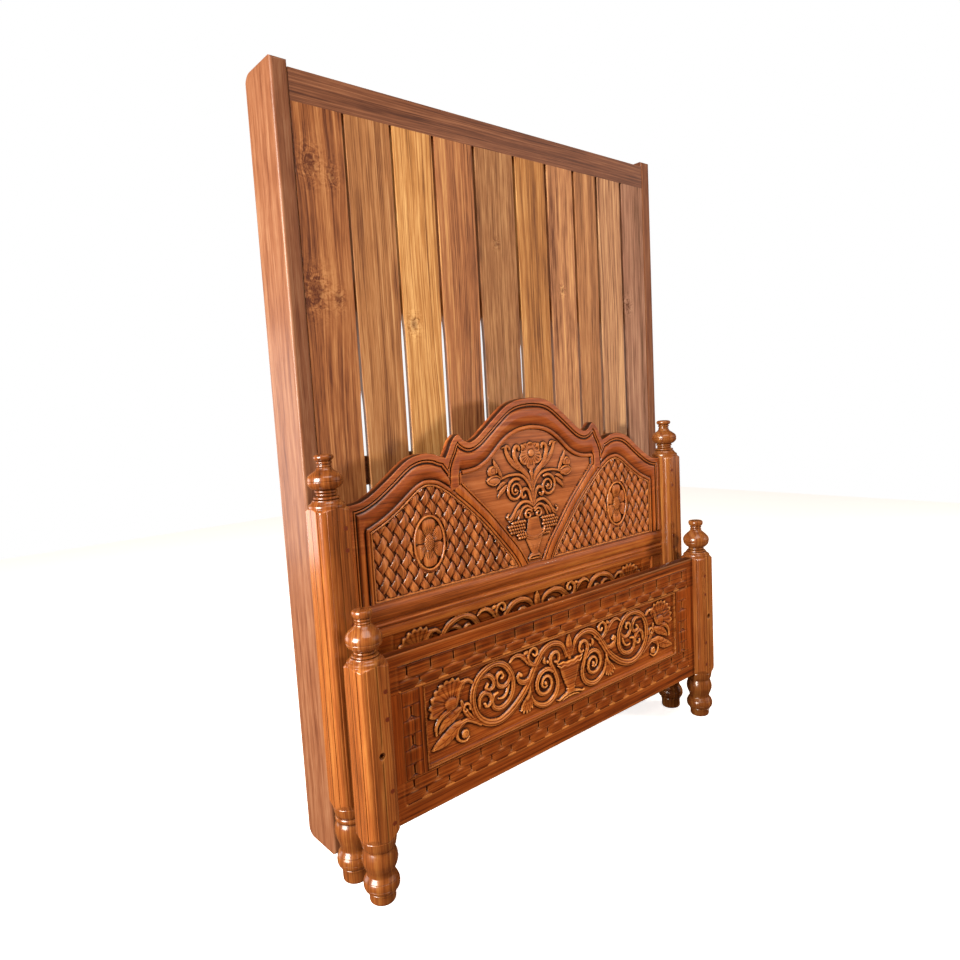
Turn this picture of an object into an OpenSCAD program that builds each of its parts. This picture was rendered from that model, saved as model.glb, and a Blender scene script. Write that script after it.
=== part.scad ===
// Carved teak bed, knocked down for storage: the slatted deck stands on end at the
// back, the headboard stands in front of it and the footboard in front of that.
// Millimetres, +Z up, +X along the bed's width, the carved faces look along -Y.
// The origin is on the floor under the middle of everything.

/* [Deck] */
// Width of the deck over both side rails
deck_w = 1465; // [1100:5:1900]
// Length of the side rails, which is the deck's height as it stands
rail_l = 1980; // [1800:5:2200]
// Depth of a side rail
rail_d = 140; // [110:1:180]
// Thickness of a side rail
rail_t = 45; // [35:1:60]
// Radius on a side rail's long front corners
rail_arris = 7; // [3:0.5:12]
// Radius on a side rail's rear end corners
ear_r = 28; // [12:1:40]
// Radius on a side rail's front end corners
ear_front_r = 8; // [3:1:12]
// How far a side rail's ends pass the cross rails
ear_l = 17; // [10:1:40]
// Height of a cross rail
cross_h = 76; // [50:1:110]
// Depth of a cross rail
cross_d = 45; // [30:1:70]
// Thickness of a plank
plank_t = 15; // [12:0.5:25]
// Gap between two planks
plank_gap = 10; // [5:0.5:20]
// How far the planks lie behind the side rails' front edge
plank_set = 2; // [0:0.5:6]
// Ledge on a cross rail that a plank's end rests on
ledge_d = 20; // [12:1:30]
// Height of a bearer behind the planks
bearer_h = 75; // [50:1:120]
// Depth of a bearer
bearer_d = 32; // [25:1:60]
// Distance from one bearer to the next
bearer_pitch = 450; // [300:5:600]
// Length of a tenon on the cross rails and bearers
deck_tenon_l = 22; // [12:1:30]
// Thickness of a tenon on the cross rails and bearers
deck_tenon_t = 18; // [10:1:25]
// Radius of a screw's head, sunk in the back of a bearer
screw_head_r = 4.2; // [3:0.1:6]
// Radius of a screw's shank
screw_r = 2; // [1.5:0.1:3]
// Depth of a screw in a plank
screw_bite = 10; // [6:0.5:11]

/* [Knock-down fittings] */
// Radius of a hole for a bed bolt
bolt_r = 5.5; // [4:0.1:8]
// Radius of the counterbore for a bed bolt's head
bolt_head_r = 10; // [8:0.5:14]
// Depth of the counterbore
bolt_head_d = 12; // [6:1:20]
// Depth of a bolt hole in a side rail's end
bolt_depth = 95; // [60:5:150]
// Radius of the cross hole for a barrel nut
nut_r = 8; // [6:0.5:10]
// Distance from a side rail's end to its barrel nut
nut_back = 70; // [40:5:100]
// Height of the side rails' middle when the bed is put together
deck_rise = 368; // [250:1:450]

/* [Posts] */
// Side of a square post
post_s = 88; // [70:1:110]
// How far the moulded corner reaches along each face
corner_w = 18; // [10:0.5:24]
// Step between a face and the corner's bead
corner_step = 2.5; // [1:0.5:5]
// Height of the turned finial
finial_h = 126; // [100:1:160]
// Height over which a post's corners are turned away at each end
shoulder_h = 12; // [6:1:20]

/* [Headboard] */
// Width of the headboard over its posts
hb_w = 1440; // [1300:5:1900]
// Height of a headboard post below its finial
hb_body_top = 928; // [850:1:1100]
// Height of the headboard's turned feet
hb_foot_h = 198; // [170:1:260]
// Height of the crest above the floor at its middle
crest_top = 1159; // [1130:1:1200]
// Sideways place of the headboard: its left face from the deck's left face
hb_shift = -46; // [-100:1:100]
// Gap between the deck and the back of the headboard
hb_gap = 67; // [30:1:200]
// Height of the sill of the carved openings
sill_z = 670; // [640:1:700]
// Height of the middle rail
middle_rail_h = 88; // [75:1:110]
// Height of the top of the headboard's bottom rail
hb_low_z = 300; // [270:1:360]

/* [Footboard] */
// Width of the footboard over its posts
fb_w = 1445; // [1300:5:1900]
// Height of a footboard post below its finial
fb_body_top = 578; // [500:1:700]
// Height of the footboard's turned feet
fb_foot_h = 160; // [130:1:200]
// Sideways place of the footboard: its left face from the deck's left face
fb_shift = -41; // [-100:1:100]
// Gap between the headboard and the back of the footboard
fb_gap = 25; // [10:1:200]
// Height of the footboard's top rail
fb_top_rail_h = 97; // [85:1:130]
// Height of the footboard's bottom rail
fb_bottom_rail_h = 102; // [85:1:130]
// Distance from one carved brick of the border to the next
brick_pitch = 71.7; // [60:0.1:90]

/* [Panels and joints] */
// Thickness of the framed boards
board_t = 28; // [26:1:34]
// How far the boards lie behind the posts' front faces
board_set = 33; // [26:1:38]
// Thickness of a panel's tongue held in grooves
panel_t = 8; // [6:0.5:10]
// Depth of a groove for a panel
groove_d = 8; // [5:0.5:10]
// Depth of the sunk ground of the mouldings
ground_d = 5; // [3:0.5:6]
// Depth of the ground behind the carved scrolls and flowers
carve_d = 8; // [6:0.5:9]
// Width of the bead round the scroll panel
bead_w = 8; // [5:0.5:10]
// Thickness of a tenon on the framed boards
tenon_t = 12; // [8:0.5:16]
// Length of a tenon into a post
tenon_l = 36; // [30:1:37]
// Radius of a peg through a tenon
peg_r = 5.5; // [3:0.5:6]
// Distance from a post's inner face to a peg
peg_in = 24; // [23:1:30]
// Clearance all round a tenon, a panel's edge and a peg
glue_gap = 0.2; // [0.1:0.05:0.5]
// Half width of an oval medallion
oval_w = 52; // [45:1:56]
// Half height of an oval medallion
oval_h = 74; // [60:1:78]
// Width of the medallion's ring
oval_ring = 8; // [6:0.5:12]

/* [Hidden] */
$fn = 48;
e = 0.01;
curve_steps = 3;

plank_ws = [136, 132, 128, 136, 150, 128, 120, 106, 120];
plank_count = len(plank_ws) + 1;
deck_in = deck_w - 2 * rail_t;
cross_z = [ear_l, rail_l - ear_l - cross_h];
bearer_z = [for (i = [-1:1]) rail_l / 2 + i * bearer_pitch - bearer_h / 2];
plank_lap = 25;
plank_l = rail_l - 2 * ear_l - 2 * cross_h;
plank_y = plank_set;
bearer_y = plank_y + plank_t;
ledge_y = plank_y + plank_t;

x_lo = min(0, hb_shift, fb_shift);
x_hi = max(deck_w, hb_shift + hb_w, fb_shift + fb_w);
y_lo = -hb_gap - post_s - fb_gap - post_s;
x_mid = (x_lo + x_hi) / 2;
y_mid = (y_lo + rail_d) / 2;

corner_r = corner_w - corner_step;
post_in = post_s / 2 - corner_w;
post_reach = post_in * sqrt(2) + corner_r;
hb_post_x = hb_w / 2 - post_s / 2;
fb_post_x = fb_w / 2 - post_s / 2;
hb_in = hb_w / 2 - post_s;
fb_in = fb_w / 2 - post_s;
tenon_in = 12;
foot_lap = 3;
tongue_root = 4;

board_y0 = board_set - post_s / 2;
board_y1 = board_y0 + board_t;
tenon_y = (board_y0 + board_y1) / 2;
ground_y = board_y0 + ground_d;
carve_y = board_y0 + carve_d;
tongue_y0 = carve_y + 1;
tongue_y1 = tongue_y0 + panel_t;
hb_k = hb_in / 632;
fb_k = fb_in / 634.5;
open_x = 569 * hb_k;
fb_open_x = 532 * fb_k;
function up(z) = sill_z + (z - 670) * (crest_top - sill_z) / 489;
function lifted(p) = [for (q = p) [q[0] * hb_k, up(q[1])]];
crest_end = up(926);
hb_rail_z = sill_z - middle_rail_h;
fb_top_z = fb_body_top - fb_top_rail_h;
fb_low_z = fb_foot_h + fb_bottom_rail_h;
leg_z = up(800);
crest_tenon = [leg_z + tenon_in, crest_end - 20 - tenon_in];
hb_tenons = [crest_tenon, [hb_rail_z + tenon_in, sill_z - tenon_in],
             [hb_foot_h + 2 + tenon_in, hb_low_z - tenon_in]];
fb_tenons = [[fb_top_z + tenon_in, fb_body_top - tenon_in], [fb_low_z + 6, fb_top_z - 14],
             [fb_foot_h + tenon_in, fb_low_z - tenon_in]];
hb_peg_z = [for (t = hb_tenons, s = [-0.31, 0.31]) (t[0] + t[1]) / 2 + s * (t[1] - t[0]) * 1.03];
fb_peg_z = [fb_top_z + 34, fb_top_z - 32, fb_low_z + 15, fb_low_z - 63];

rail_colour = [0.74, 0.50, 0.34];
plank_colour = [0.72, 0.46, 0.27];
cross_colour = [0.45, 0.27, 0.18];
headboard_colour = [0.60, 0.34, 0.17];
footboard_colour = [0.50, 0.26, 0.11];
post_colour = [0.64, 0.37, 0.18];
carving_colour = [0.70, 0.42, 0.22];
peg_colour = [0.28, 0.13, 0.07];
steel_colour = [0.55, 0.53, 0.50];

// A smooth curve through the points p, with n steps from each to the next
function spline(p, n = curve_steps) = concat(
    [for (i = [0:len(p) - 2], k = [0:n - 1]) spline_point(p, i, k / n)], [p[len(p) - 1]]);
function spline_point(p, i, t) =
    let (a = p[max(i - 1, 0)], b = p[i], c = p[i + 1], d = p[min(i + 2, len(p) - 1)])
    0.5 * (2 * b + (c - a) * t + (2 * a - 5 * b + 4 * c - d) * t * t
           + (3 * b - a - 3 * c + d) * t * t * t);
function flip(p) = [for (q = p) [-q[0], q[1]]];
function reversed(p) = [for (i = [len(p) - 1:-1:0]) p[i]];
function unit(v) = v / norm(v);

// The path p moved d to its left, with its ends kept square to their run
function beside(p, d) = [for (i = [0:len(p) - 1])
    let (a = unit(p[min(i + 1, len(p) - 1)] - p[max(i, 1) - 1]),
         b = i == 0 || i == len(p) - 1 ? a : unit(unit(p[i] - p[i - 1]) + unit(p[i + 1] - p[i])))
    p[i] + d * [-b[1], b[0]]];

// A closed outline p, running anticlockwise, grown by d with mitred corners
function grown(p, d) = [for (i = [0:len(p) - 1])
    let (n = len(p), a = unit(p[i] - p[(i + n - 1) % n]), b = unit(p[(i + 1) % n] - p[i]),
         m = unit(a + b), k = max(0.5, m * a))
    p[i] + d / k * [m[1], -m[0]]];

// A round bead of a turned profile, from height z0 up to z1, standing b proud of radius r
function bead(r, z0, z1, b) = [for (a = [-90:30:90])
    [r + b * cos(a), (z0 + z1) / 2 + (z1 - z0) / 2 * sin(a)]];

module at_deck() translate([-x_mid, -y_mid, 0]) children();
module at_headboard()
    translate([hb_shift + hb_w / 2 - x_mid, -hb_gap - post_s / 2 - y_mid, 0]) children();
module at_footboard()
    translate([fb_shift + fb_w / 2 - x_mid, -hb_gap - post_s - fb_gap - post_s / 2 - y_mid, 0])
        children();

// Stands a flat outline up in the XZ plane, from y0 back to y1
module board(y0, y1) translate([0, y1, 0]) rotate([90, 0, 0]) linear_extrude(y1 - y0) children();

// A rectangle with its own radius at each corner
module round_rect(x0, y0, x1, y1, r00, r10, r11, r01)
    difference() {
        translate([x0, y0]) square([x1 - x0, y1 - y0]);
        round_off(x0, y0, 1, 1, r00);
        round_off(x1, y0, -1, 1, r10);
        round_off(x1, y1, -1, -1, r11);
        round_off(x0, y1, 1, -1, r01);
    }
// What is cut away to round a corner at x, y, whose body lies towards sx, sy
module round_off(x, y, sx, sy, r)
    difference() {
        translate([x - (sx > 0 ? 1 : r), y - (sy > 0 ? 1 : r)]) square(r + 1);
        translate([x + sx * r, y + sy * r]) circle(r);
    }

// Deck

module side_rail() difference() {
    intersection() {
        rotate([90, 0, 90]) linear_extrude(rail_t)
            round_rect(0, 0, rail_d, rail_l, ear_front_r, ear_r, ear_r, ear_front_r);
        linear_extrude(rail_l)
            round_rect(0, 0, rail_t, rail_d, rail_arris, rail_arris, 3, 3);
    }
    for (z = cross_z) translate([rail_t, cross_mid_y, z + cross_h / 2]) mortise(cross_h);
    for (z = bearer_z) translate([rail_t, bearer_mid_y, z + bearer_h / 2]) mortise(bearer_h);
    for (z = [0, rail_l - bolt_depth]) translate([rail_t / 2, rail_d / 2, z - 1])
        cylinder(r = bolt_r, h = bolt_depth + 2);
    for (z = [nut_back, rail_l - nut_back]) translate([10, rail_d / 2, z])
        rotate([0, 90, 0]) cylinder(r = nut_r, h = rail_t);
}
cross_mid_y = plank_set + cross_d / 2;
bearer_mid_y = bearer_y + bearer_d / 2;

module mortise(h) cube([2 * (deck_tenon_l + glue_gap), deck_tenon_t + 2 * glue_gap,
                        h - 2 * tenon_in + 2 * glue_gap], center = true);
module deck_tenons(y, z, h)
    translate([rail_t - deck_tenon_l, y - deck_tenon_t / 2, z + tenon_in])
        cube([deck_in + 2 * deck_tenon_l, deck_tenon_t, h - 2 * tenon_in]);

module cross_rail(z) color(cross_colour) at_deck() {
    translate([rail_t, plank_set, z]) cube([deck_in, cross_d, cross_h]);
    deck_tenons(cross_mid_y, z, cross_h);
    ledge_z = z < rail_l / 2 ? z + cross_h : z - plank_lap;
    translate([rail_t, ledge_y, ledge_z]) cube([deck_in, ledge_d, plank_lap]);
}

module bearer(z) color(cross_colour) at_deck() difference() {
    union() {
        translate([rail_t, bearer_y, z]) cube([deck_in, bearer_d, bearer_h]);
        deck_tenons(bearer_mid_y, z, bearer_h);
    }
    screw_holes();
}

function plank_x(i) = i == 0 ? rail_t : plank_x(i - 1) + plank_ws[i - 1] * plank_k + plank_gap;
function plank_w(i) = i < plank_count - 1 ? plank_ws[i] * plank_k
    : deck_w - rail_t - plank_x(i);
plank_k = (deck_in - plank_gap * (plank_count - 1)) / 1275;

module plank(i) color(plank_colour) at_deck() difference() {
    translate([plank_x(i), plank_y, cross_z[0] + cross_h]) cube([plank_w(i), plank_t, plank_l]);
    screw_holes();
}

module each_screw() for (i = [0:plank_count - 1], z = bearer_z)
    translate([plank_x(i) + plank_w(i) / 2, bearer_y + bearer_d, z + bearer_h / 2])
        rotate([90, 0, 0]) children();
module screw_shape(grow) {
    translate([0, 0, -grow]) cylinder(r = screw_r + grow, h = bearer_d + screw_bite + 2 * grow, $fn = 24);
    translate([0, 0, -grow]) cylinder(r = screw_head_r + grow, h = 3 + 2 * grow, $fn = 24);
}
module screw_holes() each_screw() screw_shape(glue_gap);
module deck_screws() color(steel_colour) at_deck() each_screw() screw_shape(0);

// Posts

module corner_profile() difference() {
    square(post_s, center = true);
    for (sx = [-1, 1], sy = [-1, 1]) translate([sx * post_in, sy * post_in]) difference() {
        translate([sx > 0 ? 0 : -corner_w - 1, sy > 0 ? 0 : -corner_w - 1]) square(corner_w + 1);
        circle(corner_r);
    }
}

// The square length of a post from z0 up to z1, its corners turned away at both ends, with a core
// that runs on into the foot
module post_body(z0, z1) intersection() {
    translate([0, 0, z0 - foot_lap]) linear_extrude(z1 - z0 + foot_lap) corner_profile();
    rotate_extrude() polygon([[0, z0 - foot_lap], [post_s * 0.4, z0 - foot_lap],
        [post_s * 0.4, z0], [post_s * 0.44, z0], [post_s * 0.5, z0 + shoulder_h * 0.8],
        [post_reach + 1, z0 + shoulder_h * 2.4], [post_reach + 1, z1 - shoulder_h * 1.6],
        [post_s * 0.52, z1 - shoulder_h * 0.25], [post_s * 0.5, z1], [0, z1]]);
}

hb_finial = concat([[0, 0], [44, 0], [44, 4], [44, 8], [37, 13], [33, 18]],
    bead(27, 20, 27, 4), bead(21.5, 28, 35, 3), bead(24, 36, 42, 3),
    spline([[25, 43], [34, 47], [41, 55], [42.8, 62]]), [[41.3, 64], [42.6, 66]],
    spline([[42.6, 66], [39.5, 75], [30, 83], [21, 89], [17.5, 95]]),
    bead(15.5, 95.5, 100.5, 2.3), [[15.3, 102.5]], bead(16, 103, 109, 3),
    spline([[17, 110], [22, 113.5], [23.8, 118], [21.5, 123], [13, 125.5], [0, 126]]));
fb_finial = concat([[0, 0], [44, 0], [44, 4], [44, 8], [38, 12], [34, 16]],
    bead(28, 17, 22, 3.5), bead(23, 24, 30, 3),
    spline([[25, 31], [33, 36], [39.5, 43], [42, 50]]), [[41.2, 51.5], [42.4, 53]],
    spline([[42.4, 53], [43, 60], [40, 69], [31, 79], [22, 87], [18.5, 92]]),
    bead(16.5, 92.5, 97.5, 2.3), [[16.3, 99.5]], bead(16.5, 100, 105, 2.6),
    spline([[18, 106], [22, 110], [24, 117], [23, 122], [20, 124.5], [10, 125.6], [0, 126]]));

hb_foot = concat([[0, 0], [27, 0], [31, 2.5], [32, 7], [32, 31]], bead(33, 32, 37, 2),
    spline([[36, 38], [41, 44], [43, 51]]), [[41.8, 53], [43.2, 55]],
    spline([[43.2, 55], [42.5, 62], [40.5, 67]]), [[39, 69], [39.5, 71]],
    spline([[39.5, 71], [36, 76], [32, 84], [33.5, 94], [38, 108], [42, 122], [43.2, 134],
            [41, 147], [36.5, 156]]),
    bead(36.5, 159, 171, 4), [[37, 173], [40, 178], [42, 186], [44, 198], [0, 198]]);
fb_foot = concat([[0, 0], [26, 0], [30, 2.5], [31.5, 7], [31.5, 22]], bead(32.5, 23, 28, 2),
    spline([[35, 29], [40.5, 34], [43, 40]]), [[41.8, 42], [43.4, 44]],
    spline([[43.4, 44], [43, 51], [41, 57]]), [[39.5, 58.5], [39.8, 60]],
    spline([[39.8, 60], [36, 65], [33, 70], [34.5, 79], [39, 90], [42.5, 102], [42, 114],
            [39.5, 124], [36.5, 132]]),
    [[36.5, 134], [38.5, 137], [41, 144], [44, 160], [0, 160]]);

function raised(p, k, z) = [for (q = p) [q[0], z + q[1] * k]];

module post(foot, foot_h, foot_made, body_top, finial) {
    rotate_extrude() polygon(raised(foot, foot_h / foot_made, 0));
    post_body(foot_h, body_top);
    rotate_extrude() polygon(raised(finial, finial_h / 126, body_top));
}
// A bed bolt's hole through a post, its head sunk in the face on the side given
module bolt_hole(side) translate([0, side * (post_s / 2 + 1), deck_rise]) rotate([side * 90, 0, 0]) {
    cylinder(r = bolt_r, h = post_s + 2);
    cylinder(r = bolt_head_r, h = bolt_head_d + 1);
}
// A post's mortise for a tenon that spans z0 to z1, towards side
module post_mortise(side, span)
    translate([side * (post_s / 2 - (tenon_l + glue_gap) / 2 + 0.5), tenon_y, (span[0] + span[1]) / 2])
        cube([tenon_l + glue_gap + 1, tenon_t + 2 * glue_gap, span[1] - span[0] + 2 * glue_gap],
             center = true);
module peg_shape(grow) rotate([90, 0, 0])
    cylinder(r = peg_r + grow, h = post_s / 2 + tenon_y + tenon_t / 2 + 3, $fn = 24);
// Calls its children at each peg of a post at x whose rails lie towards side
module each_peg(x, side, zs) for (z = zs)
    translate([x + side * (post_s / 2 - peg_in), tenon_y + tenon_t / 2 + 3, z]) children();

module headboard_post(side) color(post_colour) at_headboard() difference() {
    translate([side * hb_post_x, 0, 0]) difference() {
        post(hb_foot, hb_foot_h, 198, hb_body_top, hb_finial);
        bolt_hole(1);
        for (t = hb_tenons) post_mortise(-side, t);
    }
    each_peg(side * hb_post_x, -side, hb_peg_z) peg_shape(glue_gap);
}
module footboard_post(side) color(post_colour) at_footboard() difference() {
    translate([side * fb_post_x, 0, 0]) difference() {
        post(fb_foot, fb_foot_h, 160, fb_body_top, fb_finial);
        bolt_hole(-1);
        for (t = fb_tenons) post_mortise(-side, t);
    }
    each_peg(side * fb_post_x, -side, fb_peg_z) peg_shape(glue_gap);
}
module headboard_pegs() color(peg_colour) at_headboard() for (s = [-1, 1])
    each_peg(s * hb_post_x, -s, hb_peg_z) peg_shape(0);
module footboard_pegs() color(peg_colour) at_footboard() for (s = [-1, 1])
    each_peg(s * fb_post_x, -s, fb_peg_z) peg_shape(0);
// The tenons of a rail whose ends stand at x on both sides, or only on the side given, bored
// for the pegs at the heights zs
module rail_tenons(x, span, zs, sides = [-1, 1]) for (s = sides) difference() {
    translate([s > 0 ? x - tongue_root : -x - tenon_l, tenon_y - tenon_t / 2, span[0]])
        cube([tenon_l + tongue_root, tenon_t, span[1] - span[0]]);
    each_peg(s * (x + post_s / 2), -s, zs) peg_shape(glue_gap);
}

// Headboard: outlines are given for the right half, from the middle outwards

crest_out = spline(lifted([[0, 1159], [48, 1155], [90, 1142], [133, 1114], [185, 1075], [212, 1056],
    [238, 1047], [258, 1055], [277, 1071], [298, 1055], [311, 1031], [322, 1013]]));
crest_open = spline(lifted([[0, 1066], [40, 1062], [75, 1052], [110, 1032], [143, 1005], [166, 987],
    [190, 974], [212, 966], [235, 962], [255, 960.5], [266, 960], [266.5, 941]]));
valley = crest_out[len(crest_out) - 1];
cusp_foot = crest_open[len(crest_open) - 1];
shoulder_out = spline(concat([valley], lifted([[340, 1018], [362, 1026], [394, 1030], [430, 1024],
    [460, 1010], [500, 982], [531, 961], [560, 943], [590, 930], [616, 926], [632, 926]])));
shoulder_open = spline(lifted([[288, 899], [304, 912], [325, 927], [356, 944], [387, 949],
    [405, 945], [425, 935], [448, 919], [487, 892], [525, 870], [552, 858], [569, 851]]));
weave_corner = shoulder_open[0];
brace_out = spline(lifted([[288, 899], [248, 866], [190, 811], [133, 748], [94, 702], [73, 670]]));
brace_in = spline(lifted([[266.5, 941], [220, 897], [161, 840], [103, 774], [62, 726], [27, 670]]));
brace_head = lifted([[296, 925]])[0];

function dropped(p, n = 1) = [for (i = [n:len(p) - 1]) p[i]];
function between(a, b, f) = [for (i = [0:len(a) - 1]) a[i] + f * (b[i] - a[i])];
function band(a, b, f0, f1) = concat(between(a, b, f0), reversed(between(a, b, f1)));
function mirrored_pair(p) = concat(reversed(flip(dropped(p))), p);

weave_opening = concat([brace_out[len(brace_out) - 1], [open_x, sill_z]], reversed(shoulder_open),
                       dropped([for (i = [0:len(brace_out) - 2]) brace_out[i]]));
centre_half = concat([for (i = [0:len(brace_in) - 1]) brace_in[len(brace_in) - 1 - i]],
                     dropped(reversed(crest_open)));
centre_opening = concat(centre_half, dropped(reversed(flip(centre_half))));
crest_bands = [[0, 0.19], [0.225, 0.275], [0.315, 0.81], [0.86, 0.98]];

// The groove round an opening that takes a panel's tongue, and the panel itself
module panel_groove(p) board(tongue_y0 - glue_gap, tongue_y1 + glue_gap)
    polygon(grown(p, groove_d + glue_gap));
module panel(p, face_y) {
    board(tongue_y0, tongue_y1) polygon(grown(p, groove_d));
    board(face_y, tongue_y1) polygon(grown(p, -glue_gap));
}
module moulded(outline, a, b) {
    board(ground_y, board_y1) polygon(outline);
    for (f = crest_bands) board(board_y0, ground_y + e) polygon(band(a, b, f[0], f[1]));
}
// A short tongue across a joint from a to b, l long on the joint's right and rooted on its left,
// grown all round
module joint_tongue(a, b, l, grow) {
    v = unit(b - a);
    n = [v[1], -v[0]];
    root = tongue_root + grow;
    board(tenon_y - 5 - grow, tenon_y + 5 + grow)
        polygon([a - grow * v - root * n, b + grow * v - root * n, b + grow * v + (l + grow) * n,
                 a - grow * v + (l + grow) * n]);
}
// Places the tongues that join the crest, the braces and the stiles on the right half
module crest_tongue(grow) joint_tongue(brace_head + 0.75 * (valley - brace_head),
    brace_head + 0.25 * (valley - brace_head), 14, grow);

module headboard_crest_centre() color(headboard_colour) at_headboard() difference() {
    union() {
        moulded(concat(reversed(flip(dropped(crest_out))), crest_out, [brace_head],
                       reversed(crest_open), flip(dropped(crest_open)), flip([brace_head])),
                mirrored_pair(crest_out), mirrored_pair(crest_open));
        for (m = [0, 1]) mirror([m, 0, 0]) board(board_y0, ground_y + e)
            polygon([valley, brace_head, cusp_foot, crest_out[len(crest_out) - 4]]);
    }
    panel_groove(centre_opening);
    for (m = [0, 1]) mirror([m, 0, 0]) {
        crest_tongue(glue_gap);
        brace_head_tongue(glue_gap);
    }
    corner_slot();
}
// The narrow slot beside the centre panel's left corner
module corner_slot() translate([-272 * hb_k, board_y0 - 1, up(943)]) cube([7, board_t + 2, 28]);

module crest_side() {
    outline = concat(shoulder_out, [[hb_in, leg_z], [open_x, leg_z]], reversed(shoulder_open),
                     [brace_head]);
    difference() {
        moulded(outline, concat(shoulder_out, [[hb_in, leg_z]]),
                concat(shoulder_open, [[open_x, leg_z]]));
        panel_groove(weave_opening);
        stile_tongue(leg_z, glue_gap);
    }
    rail_tenons(hb_in, crest_tenon, hb_peg_z, [1]);
    crest_tongue(0);
}
module headboard_crest_right() color(headboard_colour) at_headboard() crest_side();
module headboard_crest_left() color(headboard_colour) at_headboard() mirror([1, 0, 0]) crest_side();

module brace_head_tongue(grow) joint_tongue(brace_head + 0.3 * (cusp_foot - brace_head),
    brace_head + 0.8 * (cusp_foot - brace_head), 11, grow);
module brace_foot_tongue(grow)
    board(tenon_y - 5 - grow, tenon_y + 5 + grow) translate([50 * hb_k, sill_z - 8])
        square([15 + 2 * grow, 32 + 2 * grow], center = true);
module stile_tongue(z, grow) board(tenon_y - 4 - grow, tenon_y + 4 + grow)
    translate([(open_x + hb_in) / 2 + 4, z]) square([24 + 2 * grow, 28 + 2 * grow], center = true);

module brace() difference() {
    outline = concat(brace_out, reversed(brace_in), [brace_head]);
    union() {
        board(ground_y, board_y1) polygon(outline);
        for (f = [[0, 0.2], [0.34, 0.66], [0.8, 1]])
            board(board_y0, ground_y + e) polygon(band(brace_out, brace_in, f[0], f[1]));
        board(board_y0, ground_y + e) polygon([brace_head, brace_out[0], brace_in[0]]);
        difference() {
            brace_foot_tongue(0);
            board(tenon_y - 6, tenon_y + 6) translate([0, sill_z + 9]) square([200, 20]);
        }
        brace_head_tongue(0);
    }
    panel_groove(weave_opening);
    panel_groove(centre_opening);
}
module headboard_brace_right() color(headboard_colour) at_headboard() brace();
module headboard_brace_left() color(headboard_colour) at_headboard() mirror([1, 0, 0]) brace();

// A stile from z0 to z1, with tongues at both ends, moulded like the crest's outer edge
module stile(z0, z1) {
    w = hb_in - open_x;
    translate([open_x, ground_y, z0]) cube([w, board_y1 - ground_y, z1 - z0]);
    for (f = crest_bands) translate([hb_in - f[1] * w, board_y0, z0])
        cube([(f[1] - f[0]) * w, ground_d + e, z1 - z0]);
}
module upper_stile() {
    difference() {
        stile(sill_z, leg_z);
        panel_groove(weave_opening);
    }
    difference() {
        for (z = [sill_z, leg_z]) stile_tongue(z, 0);
        translate([open_x - 1, -post_s, sill_z]) cube([2 * post_s, 2 * post_s, leg_z - sill_z]);
    }
}
module headboard_stile_right() color(headboard_colour) at_headboard() upper_stile();
module headboard_stile_left() color(headboard_colour) at_headboard() mirror([1, 0, 0]) upper_stile();

// The middle rail's section: a round belly, a bead between two quirks and a flat
module rail_section() {
    z = hb_rail_z;
    polygon(concat([[board_y1, z], [board_y1, sill_z], [ground_y, sill_z]],
        [for (a = [90:-18:-90]) [ground_y - ground_d * cos(a), z + 64.5 + 20.5 * sin(a)]],
        [[ground_y + 1, z + 40], [ground_y + 1, z + 36]],
        [for (a = [90:-30:-90]) [ground_y - (ground_d - 1) * cos(a), z + 31 + 5 * sin(a)]],
        [[ground_y + 1, z + 26], [ground_y + 1, z + 22], [board_y0, z + 21], [board_y0, z]]));
}
module headboard_middle_rail() color(headboard_colour) at_headboard() difference() {
    union() {
        translate([-hb_in, 0, 0]) rotate([90, 0, 90]) linear_extrude(2 * hb_in) rail_section();
        rail_tenons(hb_in, hb_tenons[1], hb_peg_z);
    }
    panel_groove(centre_opening);
    panel_groove(hb_low_opening);
    for (m = [0, 1]) mirror([m, 0, 0]) {
        panel_groove(weave_opening);
        brace_foot_tongue(glue_gap);
        stile_tongue(sill_z, glue_gap);
        stile_tongue(hb_rail_z, glue_gap);
    }
}

// A medallion's oval, r larger than its ring's outer edge, at its place on the right half
medallion_at = [390 * hb_k, up(795)];
function oval(a, b, c = [0, 0], turn = 0, n = 48) = [for (i = [0:n - 1])
    let (x = a * cos(i * 360 / n), y = b * sin(i * 360 / n))
    [c[0] + x * cos(turn) - y * sin(turn), c[1] + x * sin(turn) + y * cos(turn)]];
module weave_panel() difference() {
    panel(weave_opening, board_y0 + 2);
    board(board_y0, board_y1) translate(medallion_at)
        polygon(oval(oval_w + glue_gap, oval_h + glue_gap));
}
module headboard_weave_panel_right() color(carving_colour) at_headboard() weave_panel();
module headboard_weave_panel_left() color(carving_colour) at_headboard() mirror([1, 0, 0]) weave_panel();

// A six-petalled flower with an oval boss, whose petals reach out to the ring
function petal_reach(t) = 1 / sqrt(pow(cos(t) / (oval_w - oval_ring), 2)
                                   + pow(sin(t) / (oval_h - oval_ring), 2)) + 2;
module medallion() translate([medallion_at[0], 0, medallion_at[1]]) {
    board(board_y0, tongue_y1) difference() {
        polygon(oval(oval_w, oval_h));
        polygon(oval(oval_w - oval_ring, oval_h - oval_ring));
    }
    for (t = [30:60:330]) let (r = petal_reach(t)) board(board_y0 + 2, tongue_y1)
        polygon(oval(r / 2, r * 0.27, [r / 2 * cos(t), r / 2 * sin(t)], t, 36));
    board(board_y0, tongue_y1) polygon(oval(11, 15));
}
module headboard_medallion_right() color(carving_colour) at_headboard() medallion();
module headboard_medallion_left() color(carving_colour) at_headboard() mirror([1, 0, 0]) medallion();

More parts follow.
